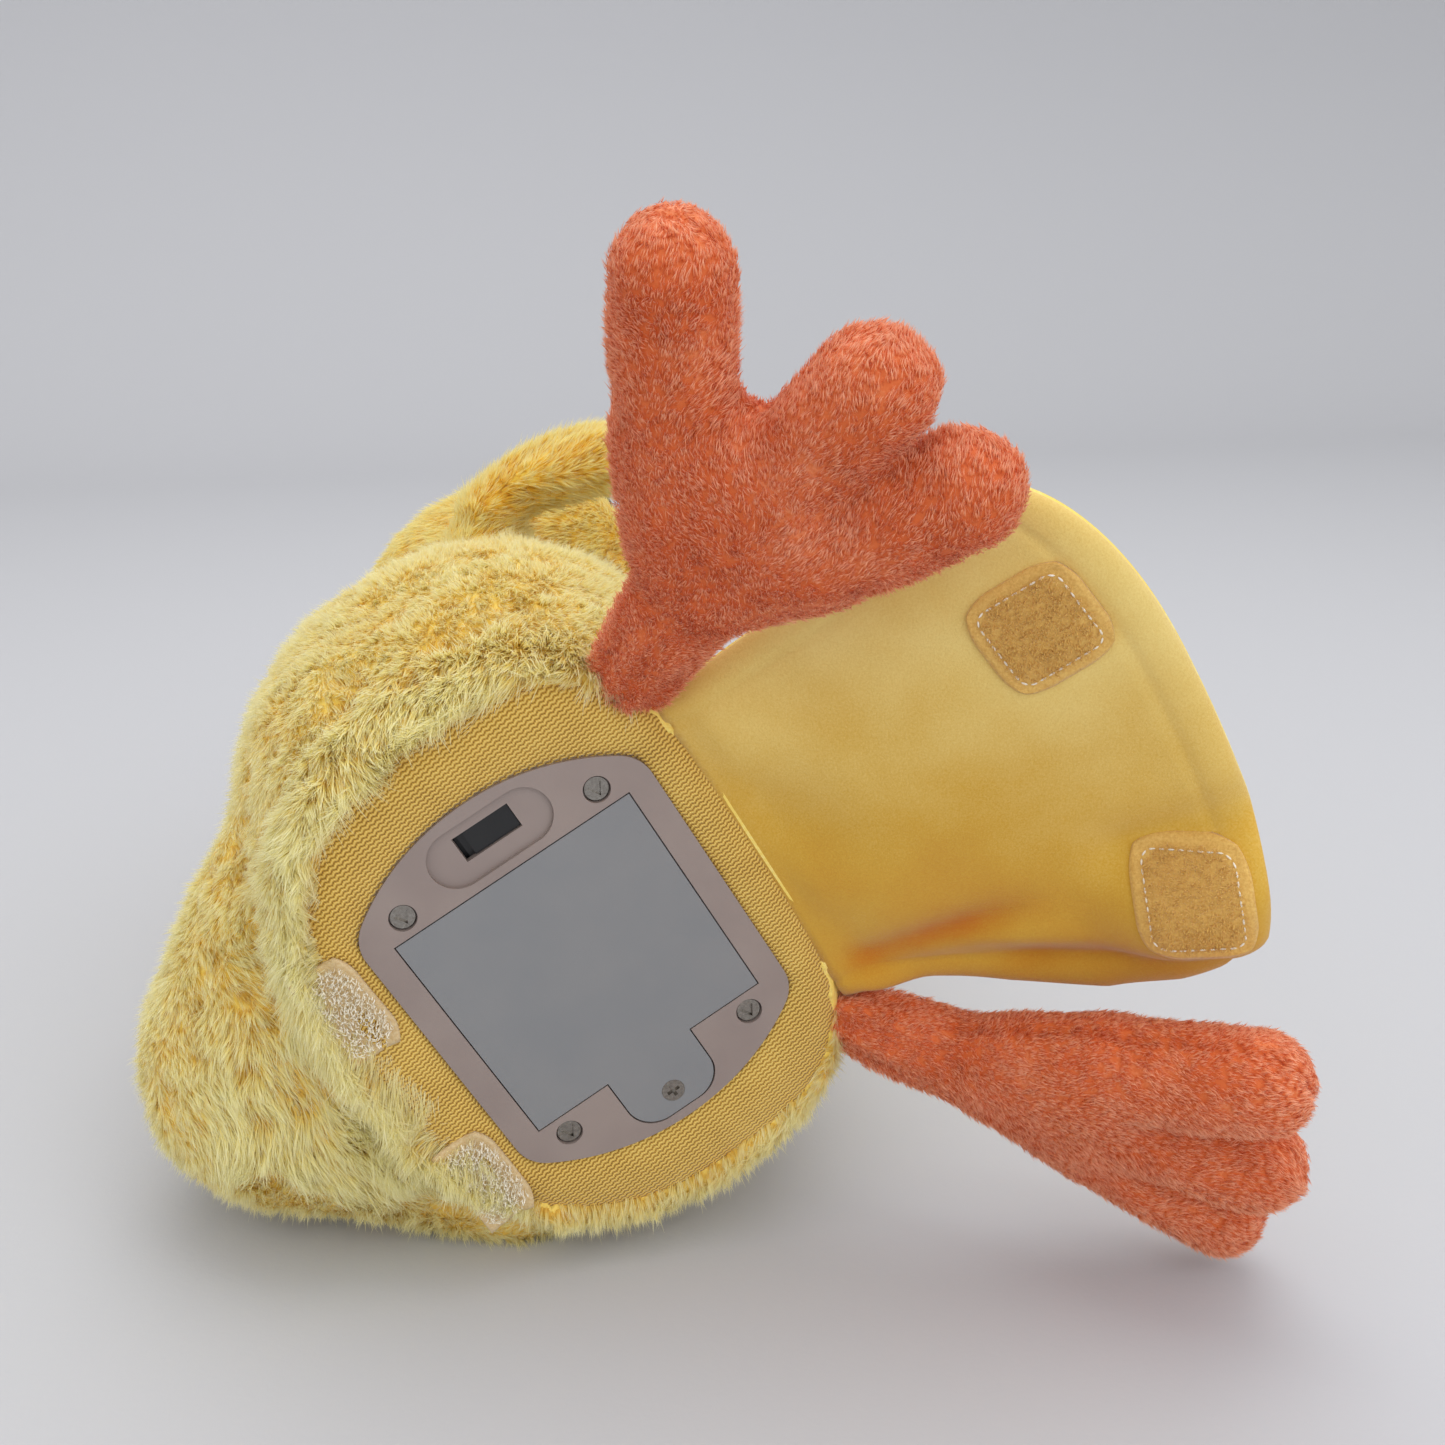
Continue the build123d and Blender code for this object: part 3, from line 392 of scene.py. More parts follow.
def evaluated(piece):  # the piece's modifiers applied into a plain mesh
    graph = bpy.context.evaluated_depsgraph_get()
    settled = piece.evaluated_get(graph)
    return bpy.data.meshes.new_from_object(settled, preserve_all_data_layers=True, depsgraph=graph)


def relax(points, faces, rounds, share=0.5):  # evens a skin by pulling points to their neighbours
    pairs = {(min(a, b), max(a, b)) for f in faces for a, b in zip(f, f[1:] + f[:1])}
    a, b = np.array(sorted(pairs)).T
    near = np.bincount(a, minlength=len(points)) + np.bincount(b, minlength=len(points))
    for turn in range(rounds):
        total = np.zeros_like(points)
        for axis in range(3):
            total[:, axis] = np.bincount(a, points[b, axis], len(points))
            total[:, axis] += np.bincount(b, points[a, axis], len(points))
        pull = share if turn % 2 == 0 else -share * 0.9
        points = points + (total / near[:, None] - points) * pull
    return points


def fused(parts, voxel, rounds):
    points, faces, start = [], [], 0
    for p, f in parts:
        points.append(p)
        faces += [[i + start for i in face] for face in f]
        start += len(p)
    piece = bakedObject("fusing", np.concatenate(points), faces)
    remesh = piece.modifiers.new("remesh", "REMESH")
    remesh.mode = "VOXEL"
    remesh.voxel_size = voxel
    mesh = evaluated(piece)
    bpy.data.objects.remove(piece)
    points, faces = meshArrays(mesh)
    bpy.data.meshes.remove(mesh)
    return relax(points, faces, rounds), faces


def normalsOf(points, faces):
    normals = np.zeros_like(points)
    quads = np.array([f if len(f) == 4 else f + f[-1:] for f in faces if len(f) in (3, 4)])
    cross = np.cross(points[quads[:, 2]] - points[quads[:, 0]], points[quads[:, 3]] - points[quads[:, 1]])
    for corner in range(4):
        for axis in range(3):
            normals[:, axis] += np.bincount(quads[:, corner], cross[:, axis], len(points))
    return unit(normals)


def grain(points, size, seed=0.0):  # smooth noise from -1 to 1
    return np.array([noise.noise(Vector(p / size) + Vector((seed, seed, seed))) for p in points])


def pits(points, pitch):  # 1 at the middle of each dimple, 0 between them
    return np.array([max(0.0, 1.0 - 2.2 * noise.voronoi(Vector(p / pitch))[0][0]) for p in points])


def piece(name, points, faces, material, attributes=None):  # toy mm to a finished object at the origin
    made = bakedObject(name, toRow(points), faces)
    shell = bmesh.new()
    shell.from_mesh(made.data)
    bmesh.ops.recalc_face_normals(shell, faces=shell.faces)
    shell.to_mesh(made.data)
    shell.free()
    made.data.polygons.foreach_set("use_smooth", [True] * len(made.data.polygons))
    made.data.materials.append(material)
    for key, values in (attributes or {}).items():
        vector = np.ndim(values) == 2
        layer = made.data.attributes.new(key, "FLOAT_VECTOR" if vector else "FLOAT", "POINT")
        layer.data.foreach_set("vector" if vector else "value", np.asarray(values, np.float32).ravel())
    return made


# the third argument is painted shade, darkening the plush's colour in dimples, folds and seams
def pileOver(points, comb, hollowShade=0.0, length=1.0, where=1.0):  # what growPile and the plush read from a skin
    values = {"pile": where, "hollowShade": hollowShade, "length": length}
    attributes = {key: np.broadcast_to(value, len(points)) for key, value in values.items()}
    return attributes | {"comb": comb}


def giveInputs(modifier, group, values):  # sets a modifier's inputs by their names in its node group
    for socket in group.interface.items_tree:
        if socket.item_type == "SOCKET" and socket.in_out == "INPUT" and socket.name in values:
            modifier[socket.identifier] = values[socket.name]


# ---- pile: small tufts of strands, grown over a skin by geometry nodes ----
def strandTuft(name, strands, length, width, spread, lean, seed):
    # a brushed lock of fine tapered strands; "along" runs from root to tip
    chance = np.random.default_rng(seed)
    points, faces, along = [], [], []
    for strand in range(strands):
        turn = chance.uniform(0, 2 * math.pi)
        root = np.array([math.cos(turn), math.sin(turn), 0]) * spread * math.sqrt(chance.uniform())
        reach = length * chance.uniform(0.65, 1.1)
        tip = root * 0.6 + np.array([*chance.normal(0, lean, 2) * reach, reach])
        side = np.array([math.cos(turn + 1.4), math.sin(turn + 1.4), 0]) * width / 2
        start = len(points)
        points += [root - side, root + side, tip]
        along += [0.0, 0.0, 1.0]
        faces.append([start, start + 1, start + 2])
    tuft = bakedObject(name, np.array(points) / 1000, faces)
    tuft.data.attributes.new("along", "FLOAT", "POINT").data.foreach_set("value", along)
    tuft.data.attributes.new("strand", "FLOAT", "POINT").data.foreach_set("value", [1.0] * len(along))
    tuft.hide_render = True
    return tuft


def pileTree():
    tree = bpy.data.node_groups.new("growPile", "GeometryNodeTree")
    tree.is_modifier = True
    sockets = [
        ("Skin", "Geometry"), ("Tuft", "Object"), ("Density", "Float"), ("Lift", "Float"),
        ("Ruffle", "Float"), ("Clump Size", "Float"), ("Seed", "Int"), ("Pile", "Material"),
    ]
    for name, kind in sockets:
        tree.interface.new_socket(name, in_out="INPUT", socket_type="NodeSocket" + kind)
    tree.interface.new_socket("Grown", in_out="OUTPUT", socket_type="NodeSocketGeometry")
    given = addNode(tree, "NodeGroupInput").outputs

    def named(name, kind="FLOAT"):
        return addNode(tree, "GeometryNodeInputNamedAttribute", {"data_type": kind}, i0=name).outputs[0]

    def chance(low, high, seed):
        number = {"data_type": "FLOAT"}
        return addNode(tree, "FunctionNodeRandomValue", number, i2=low, i3=high, Seed=seed).outputs[1]

    density = maths(tree, "MULTIPLY", named("pile"), given["Density"])
    scatter = addNode(
        tree, "GeometryNodeDistributePointsOnFaces", Mesh=given["Skin"], Density=density, Seed=given["Seed"]
    ).outputs
    position = addNode(tree, "GeometryNodeInputPosition").outputs[0]
    drift = addNode(tree, "ShaderNodeTexNoise", Vector=position, Scale=given["Clump Size"], Detail=1.0)
    drift = vectorMaths(tree, "SUBTRACT", drift.outputs["Color"], i1=(0.5, 0.5, 0.5))
    drift = vectorMaths(tree, "SCALE", drift, Scale=given["Ruffle"])
    vector, spread = {"data_type": "FLOAT_VECTOR"}, 0.22
    stray = addNode(
        tree, "FunctionNodeRandomValue", vector, i0=(-spread,) * 3, i1=(spread,) * 3, Seed=7
    ).outputs[0]
    lifted = vectorMaths(tree, "SCALE", scatter["Normal"], Scale=given["Lift"])
    way = vectorMaths(tree, "ADD", named("comb", "FLOAT_VECTOR"), i1=lifted)
    way = vectorMaths(tree, "ADD", way, i1=drift)
    way = vectorMaths(tree, "ADD", way, i1=stray)
    pointing = addNode(tree, "FunctionNodeAlignRotationToVector", {"axis": "Z"}, Vector=way).outputs[0]
    roll = chance(0.0, 2 * math.pi, 3)
    spin = addNode(tree, "FunctionNodeAxisAngleToRotation", Axis=(0, 0, 1), Angle=roll).outputs[0]
    turning = {"rotation_space": "LOCAL"}
    pointing = addNode(tree, "FunctionNodeRotateRotation", turning, i0=pointing, i1=spin).outputs[0]
    size = maths(tree, "MULTIPLY", chance(0.75, 1.15, 11), named("length"))
    toned = addNode(
        tree, "GeometryNodeStoreNamedAttribute", {"data_type": "FLOAT", "domain": "POINT"},
        Geometry=scatter["Points"], Name="tone", Value=chance(-0.5, 0.5, 5),
    ).outputs[0]
    tuft = addNode(tree, "GeometryNodeObjectInfo", Object=given["Tuft"]).outputs["Geometry"]
    planted = addNode(
        tree, "GeometryNodeInstanceOnPoints", Points=toned, Instance=tuft, Rotation=pointing, Scale=size
    ).outputs[0]
    both = addNode(tree, "GeometryNodeJoinGeometry")
    tree.links.new(planted, both.inputs[0])
    tree.links.new(given["Skin"], both.inputs[0])
    whole = addNode(tree, "GeometryNodeRealizeInstances", Geometry=both.outputs[0]).outputs[0]
    strands = maths(tree, "GREATER_THAN", named("strand"), 0.5)
    finish = {"Selection": strands, "Material": given["Pile"]}
    dressed = addNode(tree, "GeometryNodeSetMaterial", Geometry=whole, **finish)
    addNode(tree, "NodeGroupOutput", Grown=dressed.outputs[0])
    return tree


pileGrower = pileTree()
lowestPoint = 0.0004  # metres; nothing of the toy is under the ground


def growPile(skin, tuft, material, settings):
    modifier = skin.modifiers.new("pile", "NODES")
    modifier.node_group = pileGrower
    values = {
        "Tuft": tuft, "Density": settings["perSquareMm"] * 1e6, "Lift": settings["lift"],
        "Ruffle": settings["ruffle"], "Clump Size": 1000.0 / settings["clump"],
        "Seed": settings["seed"], "Pile": material,
    }
    giveInputs(modifier, pileGrower, values)
    mesh = evaluated(skin)
    skin.modifiers.remove(modifier)
    old = skin.data
    skin.data = mesh
    bpy.data.meshes.remove(old)
    points = np.zeros(len(mesh.vertices) * 3, np.float32)
    mesh.vertices.foreach_get("co", points)
    points = points.reshape(-1, 3)
    points[:, 2] = np.maximum(points[:, 2], lowestPoint)
    mesh.vertices.foreach_set("co", points.ravel())
    mesh.update()
    mesh.calc_loop_triangles()
    print(skin.name, "triangles:", len(mesh.loop_triangles))
    return skin


def stuffed(made, tuft, material, pile, node):  # grows the pile and hides the CAD node that the piece replaces
    growPile(made, tuft, material, pile)
    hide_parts(node)


def combedDown(points, faces, along, swirl=0.0):  # the way the pile lies: along the skin, towards one end
    normals = normalsOf(points, faces)
    along = np.broadcast_to(np.asarray(along, float), points.shape)
    flat = along - (along * normals).sum(1)[:, None] * normals
    if swirl:
        flat = flat + swirl * np.stack([grain(points, 16.0, s) for s in (3.1, 7.7, 12.9)], 1)
    return turned(unit(flat))


def pressedFlat(points, room=0.6):  # the table side is pressed flat by the weight
    row = toRow(points)
    under = np.maximum(room / 1000 - row[:, 2], 0) * 1000
    return points + under[:, None] * toyAxes[2]


# ---- torso with its tail lobe ----
torso = {
    "rings": (  # height, half width, reach to the front, reach to the back, squareness of the front
        (3.4, 58.0, 40.0, 47.0, 3.2), (3.0, 62.0, 43.0, 50.0, 3.2), (0.6, 63.0, 45.0, 51.5, 3.1),
        (-0.4, 64.5, 46.0, 53.0, 3.0), (1.5, 66.5, 47.5, 55.0, 2.9), (9.0, 69.0, 50.5, 57.5, 2.9),
        (30.0, 71.5, 53.5, 59.5, 2.8), (52.0, 73.0, 57.0, 62.5, 2.65), (70.0, 73.5, 59.5, 64.0, 2.5),
        (92.0, 71.0, 59.0, 62.0, 2.45), (115.0, 65.0, 57.5, 57.5, 2.4), (150.0, 54.5, 53.0, 48.0, 2.3),
        (178.0, 44.0, 48.0, 32.0, 2.2), (190.0, 36.0, 42.0, 22.0, 2.2),
    ),
    "backSquareness": 2.3, "tailCentre": (0, 71, 45), "tailRadius": 35.0,
    "tailRoot": (-2, 24, 48), "tailRootRadii": (60, 42, 45),
    "tailUnder": (34, 42, 33), "tailUnderRadii": (34, 24, 30), "swell": 0.065,
    "voxel": 2.3, "rounds": 30,
    "dimplePitch": 9.0, "dimpleDepth": 2.6, "lumps": 1.8, "lumpSize": 34.0,
    "pile": {"perSquareMm": 0.58, "lift": 0.5, "ruffle": 1.0, "clump": 10.0, "seed": 4},
}
longTuft = strandTuft("longTuft", 14, 8.0, 0.42, 1.3, 0.10, 21)
shortTuft = strandTuft("shortTuft", 14, 5.5, 0.38, 1.2, 0.12, 22)
velboaTuft = strandTuft("velboaTuft", 10, 2.1, 0.26, 1.0, 0.16, 23)


def bodyRing(height, halfWidth, front, back, squareness, count=80):
    turn = np.arange(count) * 2 * math.pi / count
    across, along = np.cos(turn), np.sin(turn)
    power = np.where(along > 0, torso["backSquareness"], squareness)
    reach = np.where(along > 0, back, front)
    x = halfWidth * np.sign(across) * np.abs(across) ** (2 / power)
    y = reach * np.sign(along) * np.abs(along) ** (2 / power)
    return np.stack([x, y, np.full(count, height)], 1)


def buildTorso(t):
    levels = [bodyRing(*ring) for ring in t["rings"]]
    tail = hull(
        ellipsoid(t["tailCentre"], (t["tailRadius"],) * 3, fineness=4),
        ellipsoid(t["tailRoot"], t["tailRootRadii"]),
        ellipsoid(t["tailUnder"], t["tailUnderRadii"]),
    )
    skin, faces = fused([rings(levels), tail], t["voxel"], t["rounds"])
    belly = smooth(skin[:, 2] / 40) * smooth((150 - skin[:, 2]) / 60)
    skin[:, 0] *= 1 + t["swell"] * (skin[:, 0] < 0) * belly  # the upper side, not pressed on the ground
    normals = normalsOf(skin, faces)
    side = smooth(skin[:, 2] / 12)
    dimples = pits(skin, t["dimplePitch"]) * side
    lumps = grain(skin, t["lumpSize"]) * t["lumps"] * side
    skin = pressedFlat(skin + normals * (lumps - dimples * t["dimpleDepth"])[:, None])
    inside = (np.abs(skin[:, 0]) / 60.5) ** 3 + (np.abs(skin[:, 1] + 3.5) / 45.0) ** 3 < 1
    bare = inside & (skin[:, 2] < 5)
    seamFront = smooth((-40 - skin[:, 1]) / 4) * smooth((52 - np.abs(skin[:, 0])) / 8)
    seamFront = seamFront * smooth((16 - skin[:, 2]) / 8)
    pile = np.where(bare, 0.0, 1.0 - seamFront)
    near = smooth((24 - skin[:, 2]) / 14)
    left = smooth((skin[:, 0] - 20) / 30)
    fringe = (0.66 + 0.34 * near) * (1.0 - 0.35 * left * near) * (1 - 0.6 * seamFront)
    comb = combedDown(skin, faces, (0.12, 0.15, -1), 0.5)
    made = piece("torsoPlush", skin, faces, creamPlush, pileOver(skin, comb, dimples, fringe, pile))
    hollowOut(made, (-30, -30, -5), (30, 30, 52.5))
    hollowOut(made, (-47, -38, -5), (47, 38, 12.5))
    stuffed(made, longTuft, creamPlush, t["pile"], "torso_plush")
    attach(made, "body")


def hollowOut(target, low, high):  # room for the battery case and the sound box
    xs, ys, zs = zip(low, high)
    corners = np.array([(x, y, z) for x in xs for y in ys for z in zs], float)
    quads = [[0, 1, 3, 2], [4, 6, 7, 5], [0, 4, 5, 1], [2, 3, 7, 6], [0, 2, 6, 4], [1, 5, 7, 3]]
    cutter = piece("cutter", corners, quads, creamPlush)
    cut = target.modifiers.new("room", "BOOLEAN")
    cut.operation = "DIFFERENCE"
    cut.solver = "EXACT"
    cut.object = cutter
    mesh = evaluated(target)
    target.modifiers.remove(cut)
    target.data = mesh
    bpy.data.objects.remove(cutter)


buildTorso(torso)
print("torso done")

# ---- head, its tuft, and the wings ----
head = {
    "centre": (0, -22, 217), "radii": (57.5, 55.5, 55.5), "voxel": 2.3, "rounds": 8,
    "dimplePitch": 9.0, "dimpleDepth": 1.8,
    "cheek": 5.0, "pile": {"perSquareMm": 0.5, "lift": 0.5, "ruffle": 0.9, "clump": 9.0, "seed": 9},
    "eyes": ((-25, -69, 236), (25, -69, 236)), "mouth": (0, -76, 208),
    "crown": (0, -90, 222),  # the pile is brushed away from here
}


def buildHead(h):
    cheeks = [ellipsoid((side * 24, -48, 203), (27 + h["cheek"], 24, 22)) for side in (-1, 1)]
    skin, faces = fused([ellipsoid(h["centre"], h["radii"], fineness=4)] + cheeks, h["voxel"], h["rounds"])
    normals = normalsOf(skin, faces)
    dimples = pits(skin, h["dimplePitch"])
    sockets = sum(np.exp(-((np.linalg.norm(skin - np.array(e), axis=1) / 9.0) ** 2)) for e in h["eyes"])
    mouth = np.exp(-(((skin - np.array(h["mouth"])) / np.array((28, 20, 9))) ** 2).sum(1))
    depth = dimples * h["dimpleDepth"] * (1 - mouth) + sockets * 1.2 + mouth * 2.0
    skin = pressedFlat(skin - normals * depth[:, None])
    length = 1 - 0.75 * np.clip(sockets * 1.3 + mouth * 1.2, 0, 1)
    away = skin - np.array(h["crown"])
    comb = combedDown(skin, faces, unit(away) + np.array((0, 0.2, -0.5)), 0.4)
    made = piece("headPlush", skin, faces, yellowPlush, pileOver(skin, comb, dimples, length))
    stuffed(made, shortTuft, yellowPlush, h["pile"], "head_plush")
    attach(made, "body")


def buildCrest(c):
    turn = np.linspace(0, 2 * math.pi, 25)[:-1]
    x, y, z = c["foot"]
    levels = []
    for share in (0.0, 0.3, 0.6, 0.85, 0.97):
        radius = c["radius"] * (1 - share) ** 0.7
        back = y + radius * np.sin(turn) - 3 * share**2
        height = np.full(len(turn), z + c["height"] * share)
        levels.append(np.stack([x + radius * np.cos(turn), back, height], 1))
    skin, faces = rings(levels)
    comb = combedDown(skin, [f for f in faces if len(f) == 4], (0, 0, 1), 0.6)
    made = piece("headTuft", skin, faces, yellowPlush, pileOver(skin, comb, length=1.1))
    stuffed(made, shortTuft, yellowPlush, c["pile"], "head_tuft")
    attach(made, "body")


crest = {
    "foot": (0, -22, 268), "radius": 8.0, "height": 15.0,
    "pile": {"perSquareMm": 0.7, "lift": 0.35, "ruffle": 0.9, "clump": 7.0, "seed": 5},
}
wing = {  # by side where they differ: 1 is the toy's left, pressed back, and -1 its right, flopped forward
    "inner": {1: 68.5, -1: 63.5}, "back": {1: 8.0, -1: -28.0}, "thickness": {1: 15.0, -1: 19.0},
    "bend": {1: 0.0, -1: 20.0}, "height": 118.0, "lean": 15.0, "voxel": 2.0, "rounds": 8,
    "foldPitch": 10.5, "foldDepth": 2.2,
    "pile": {"perSquareMm": 0.5, "lift": 0.4, "ruffle": 0.8, "clump": 9.0, "seed": 12},
}


def buildWing(name, node, body, side, w):
    lean = math.radians(w["lean"])
    forward = np.array([0.0, -1, 0])
    out = np.array([side * math.cos(lean), 0, math.sin(lean)])
    up = np.cross(out, forward)
    axes = np.array([forward, up, out])
    root = np.array([side * w["inner"][side], w["back"][side], w["height"]])

    def local(x, y, z):
        return root + np.array([x, y, z]) @ axes

    half = w["thickness"][side] / 2
    main = ellipsoid(local(40, 0, half - 1), (35, 25, half - 1), axes)
    tips = ((70, side * 6), (63, -side * 10))
    lobes = [ellipsoid(local(x, y, half - 1), (15, 12, half - 2), axes) for x, y in tips]
    neck = ellipsoid(local(14, 0, half - 3), (12, 17, half - 3), axes)
    rooted = ellipsoid(local(3, 0, -3), (11, 15, 10), axes)  # sewn into the body's seam
    skin, faces = fused([main] + lobes + [neck, rooted], w["voxel"], w["rounds"])
    normals = normalsOf(skin, faces)
    place = (skin - root) @ axes.T
    folds = 0.5 + 0.5 * np.cos(2 * math.pi * place[:, 1] / w["foldPitch"])
    folds = (1 - folds) * smooth(place[:, 0] / 25)
    skin = skin - normals * (folds * w["foldDepth"])[:, None]
    skin = pressedFlat(skin - out * (w["bend"][side] * np.clip(place[:, 0] / 70, 0, 1.3) ** 2)[:, None])
    comb = combedDown(skin, faces, forward + 0.15 * up, 0.4)
    made = piece(name, skin, faces, yellowPlush, pileOver(skin, comb, folds * 0.8))
    stuffed(made, shortTuft, yellowPlush, w["pile"], node)
    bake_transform(made, "body", body, start=toRow(root + forward * 2), end=toRow(root + forward * 17))


buildHead(head)
buildCrest(crest)
buildWing("wingRight", "wing_right", "right_wing", -1, wing)
buildWing("wingLeft", "wing_left", "left_wing", 1, wing)
print("head and wings done")

# ---- feet ----
foot = {
    "heel": (21.0, 11.5), "toe": 10.6, "ball": 12.5, "ballShare": 0.55, "halfThick": 9.6, "neck": 9.0,
    "voxel": 1.8, "rounds": 10, "seam": 0.9, "wrinkle": 0.9,
    "pile": {"perSquareMm": 0.8, "lift": 0.55, "ruffle": 0.9, "clump": 4.0, "seed": 31},
}
feet = (
    {
        "name": "footRight", "node": "foot_right", "body": "right_foot", "ankle": (-53.8, -49, -5),
        "aim": (-0.48, -0.66, -0.60), "sole": (0.12, 0.59, -0.80), "tips": ((88, 33), (90, -5), (82, -29)),
    },
    {
        "name": "footLeft", "node": "foot_left", "body": "left_foot", "ankle": (57.5, -48, -1),
        "aim": (0.53, -0.60, -0.60), "sole": (0.10, 0.75, -0.66), "tips": ((90, 27), (94, -2), (90, -25)),
    },
)


def buildFoot(which, f):
    aim = unit(which["aim"])
    across = unit(np.cross(which["sole"], aim))
    axes = np.array([aim, across, np.cross(aim, across)])
    root = np.array(which["ankle"], float)

    def local(x, y, z=0.0):
        return root + np.array([x, y, z]) @ axes

    def pad(x, y, radius, thick):
        return ellipsoid(local(x, y), (radius, radius, thick), axes)

    thick = f["halfThick"]
    balls = [(x * f["ballShare"], y * f["ballShare"]) for x, y in which["tips"]]
    heelAt, heelRadius = f["heel"]
    heel = pad(heelAt, 0, heelRadius, thick)
    parts = [hull(pad(-7, 0, f["neck"], thick * 0.7), heel)]
    parts.append(hull(heel, *(pad(x, y, f["ball"], thick + 1) for x, y in balls)))
    for (x, y), (ballX, ballY) in zip(which["tips"], balls):
        end = pad(x - f["toe"] - 1, y, f["toe"], thick + 0.8)
        parts.append(hull(pad(ballX, ballY, f["toe"] + 0.4, thick + 1.2), end))
    skin, faces = fused(parts, f["voxel"], f["rounds"])
    normals = normalsOf(skin, faces)
    place = (skin - root) @ axes.T
    seam = np.exp(-((place[:, 2] / 1.1) ** 2)) * smooth((place[:, 0] - 8) / 10)
    gathers = np.sin(np.arctan2(place[:, 2], place[:, 1]) * 7) * smooth((12 - place[:, 0]) / 12)
    lumps = grain(skin, 13.0) * f["wrinkle"] + gathers * 0.8
    skin = pressedFlat(skin + normals * (lumps - seam * f["seam"])[:, None])
    comb = combedDown(skin, faces, aim + 0.25 * across, 0.7)
    made = piece(which["name"], skin, faces, orangePlush, pileOver(skin, comb, seam * 0.6))
    stuffed(made, velboaTuft, orangePlush, f["pile"], which["node"])
    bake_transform(made, "body", which["body"], start=toRow(root - aim * 4), end=toRow(root + aim * 12))


for which in feet:
    buildFoot(which, foot)
print("feet done")

# ---- beak: two stuffed pads on the head and on the jaw ----
beak = {
    "root": -60.0, "voxel": 1.3, "rounds": 6,
    "pile": {"perSquareMm": 0.9, "lift": 0.6, "ruffle": 0.7, "clump": 4.0, "seed": 41},
}


def buildBeak(name, node, body, halfWidth, tip, low, high):
    middle, half = (low + high) / 2, (high - low) / 2
    reach = beak["root"] - tip
    bulb = ellipsoid((0, beak["root"], middle), (halfWidth - 0.5, reach - 1, half - 0.6), fineness=4)
    nose = ellipsoid((0, tip + 13, middle), (halfWidth * 0.62, 12, half - 1.2), fineness=4)
    skin, faces = fused([bulb, nose], beak["voxel"], beak["rounds"])
    skin[:, 2] = np.clip(skin[:, 2], low + 0.4, high - 0.4)
    skin[:, 1] = np.minimum(skin[:, 1], beak["root"])
    normals = normalsOf(skin, faces)
    outside = smooth((beak["root"] - 1 - skin[:, 1]) / 3)
    seam = np.exp(-(((skin[:, 2] - middle) / 0.9) ** 2))
    skin = pressedFlat(skin - normals * (seam * 0.7)[:, None])
    comb = combedDown(skin, faces, (0, -1, 0), 0.5)
    made = piece(name, skin, faces, orangePlush, pileOver(skin, comb, seam * 0.5, 0.75, outside))
    stuffed(made, velboaTuft, orangePlush, beak["pile"], node)
    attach(made, body)


buildBeak("beakUpper", "beak_upper", "body", 24.0, -118.0, 208.6, 219.0)
buildBeak("beakLower", "beak_lower", "jaw", 22.0, -115.0, 197.0, 207.6)
print("beak done")

# ---- base panel: twill stretched over the base and clamped by the plate's rim ----
panel = {
    "across": 150, "rows": 9, "thickness": 0.9, "crown": 1.4, "front": 47.2, "back": 52.0, "halfWidth": 64.0,
    "hem": 2.2, "underPlate": 0.8, "intoPlush": 1.01, "level": 1.15,
}


def plateEdge(angle, inset):  # the plate's outline: straight sides and bowed ends, in toy mm
    x, y = math.cos(angle), math.sin(angle)
    best = (35.5 - inset) / max(abs(y), 1e-6)
    bow, offset = 55.0 - inset, 46.0 - 55.0
    for side in (-1, 1):
        centre = side * offset
        b = x * centre
        best = min(best, b + math.sqrt(b * b - centre * centre + bow * bow))
    return best * x, best * y


def clothBehind(made, thickness):  # gives a sheet its thickness on the far side of its face
    solid = made.modifiers.new("cloth", "SOLIDIFY")
    solid.thickness = thickness / 1000
    solid.offset = -1.0
    made.data = evaluated(made)
    made.modifiers.clear()


def buildPanel(p):
    count = p["across"]
    outer = bodyRing(0, p["halfWidth"], p["front"], p["back"], 3.2, count)
    points = []
    for row in range(p["rows"]):
        share = row / (p["rows"] - 1)
        sag = p["crown"] * math.sin(math.pi * min(share * 1.15, 1.0))
        rise = p["hem"] * max(0.0, share - 0.82) / 0.18 - sag
        for x, y, _ in outer:
            innerX, innerY = plateEdge(math.atan2(y, x), p["underPlate"])
            across = innerX + (x * p["intoPlush"] - innerX) * share
            along = innerY + (y * p["intoPlush"] - innerY) * share
            points.append((across, along, p["level"] + rise))
    points = np.array(points)
    points[:, 2] += grain(points, 9.0, 2.0) * 0.15
    faces = []
    for r in range(p["rows"] - 1):
        for i in range(count):
            a, b = r * count + i, r * count + (i + 1) % count
            faces.append([a, b, b + count, a + count])
    made = piece("basePanel", points, faces, ochreTwill)
    if normalsOf(points, faces)[:, 2].mean() > 0:
        made.data.flip_normals()
    clothBehind(made, p["thickness"])
    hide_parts("base_panel")
    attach(made, "body")


buildPanel(panel)
print("base panel done")

# ---- flap: felt on the side that closes over the base, plush on the other ----
flap = {
    "origin": (1.0, -47.0, -0.5), "lift": 28.0, "length": 97.0, "corner": 2.7,
    "columns": 64, "rows": 60, "fold": 4.5, "curl": 8.0, "tucked": 4.0, "edgeRoll": 3.2, "thickness": 6.5,
    "pile": {"perSquareMm": 0.5, "lift": 0.4, "ruffle": 0.9, "clump": 9.0, "seed": 51},
}
lift = math.radians(flap["lift"])
rise, run = math.sin(lift), math.cos(lift)
flapAxes = np.array([[1.0, 0, 0], [0, -run, -rise], [0, rise, -run]])


def flapPoint(u, v, h=0.0):
    return np.array(flap["origin"]) + np.stack(np.broadcast_arrays(u, v, h), -1) @ flapAxes


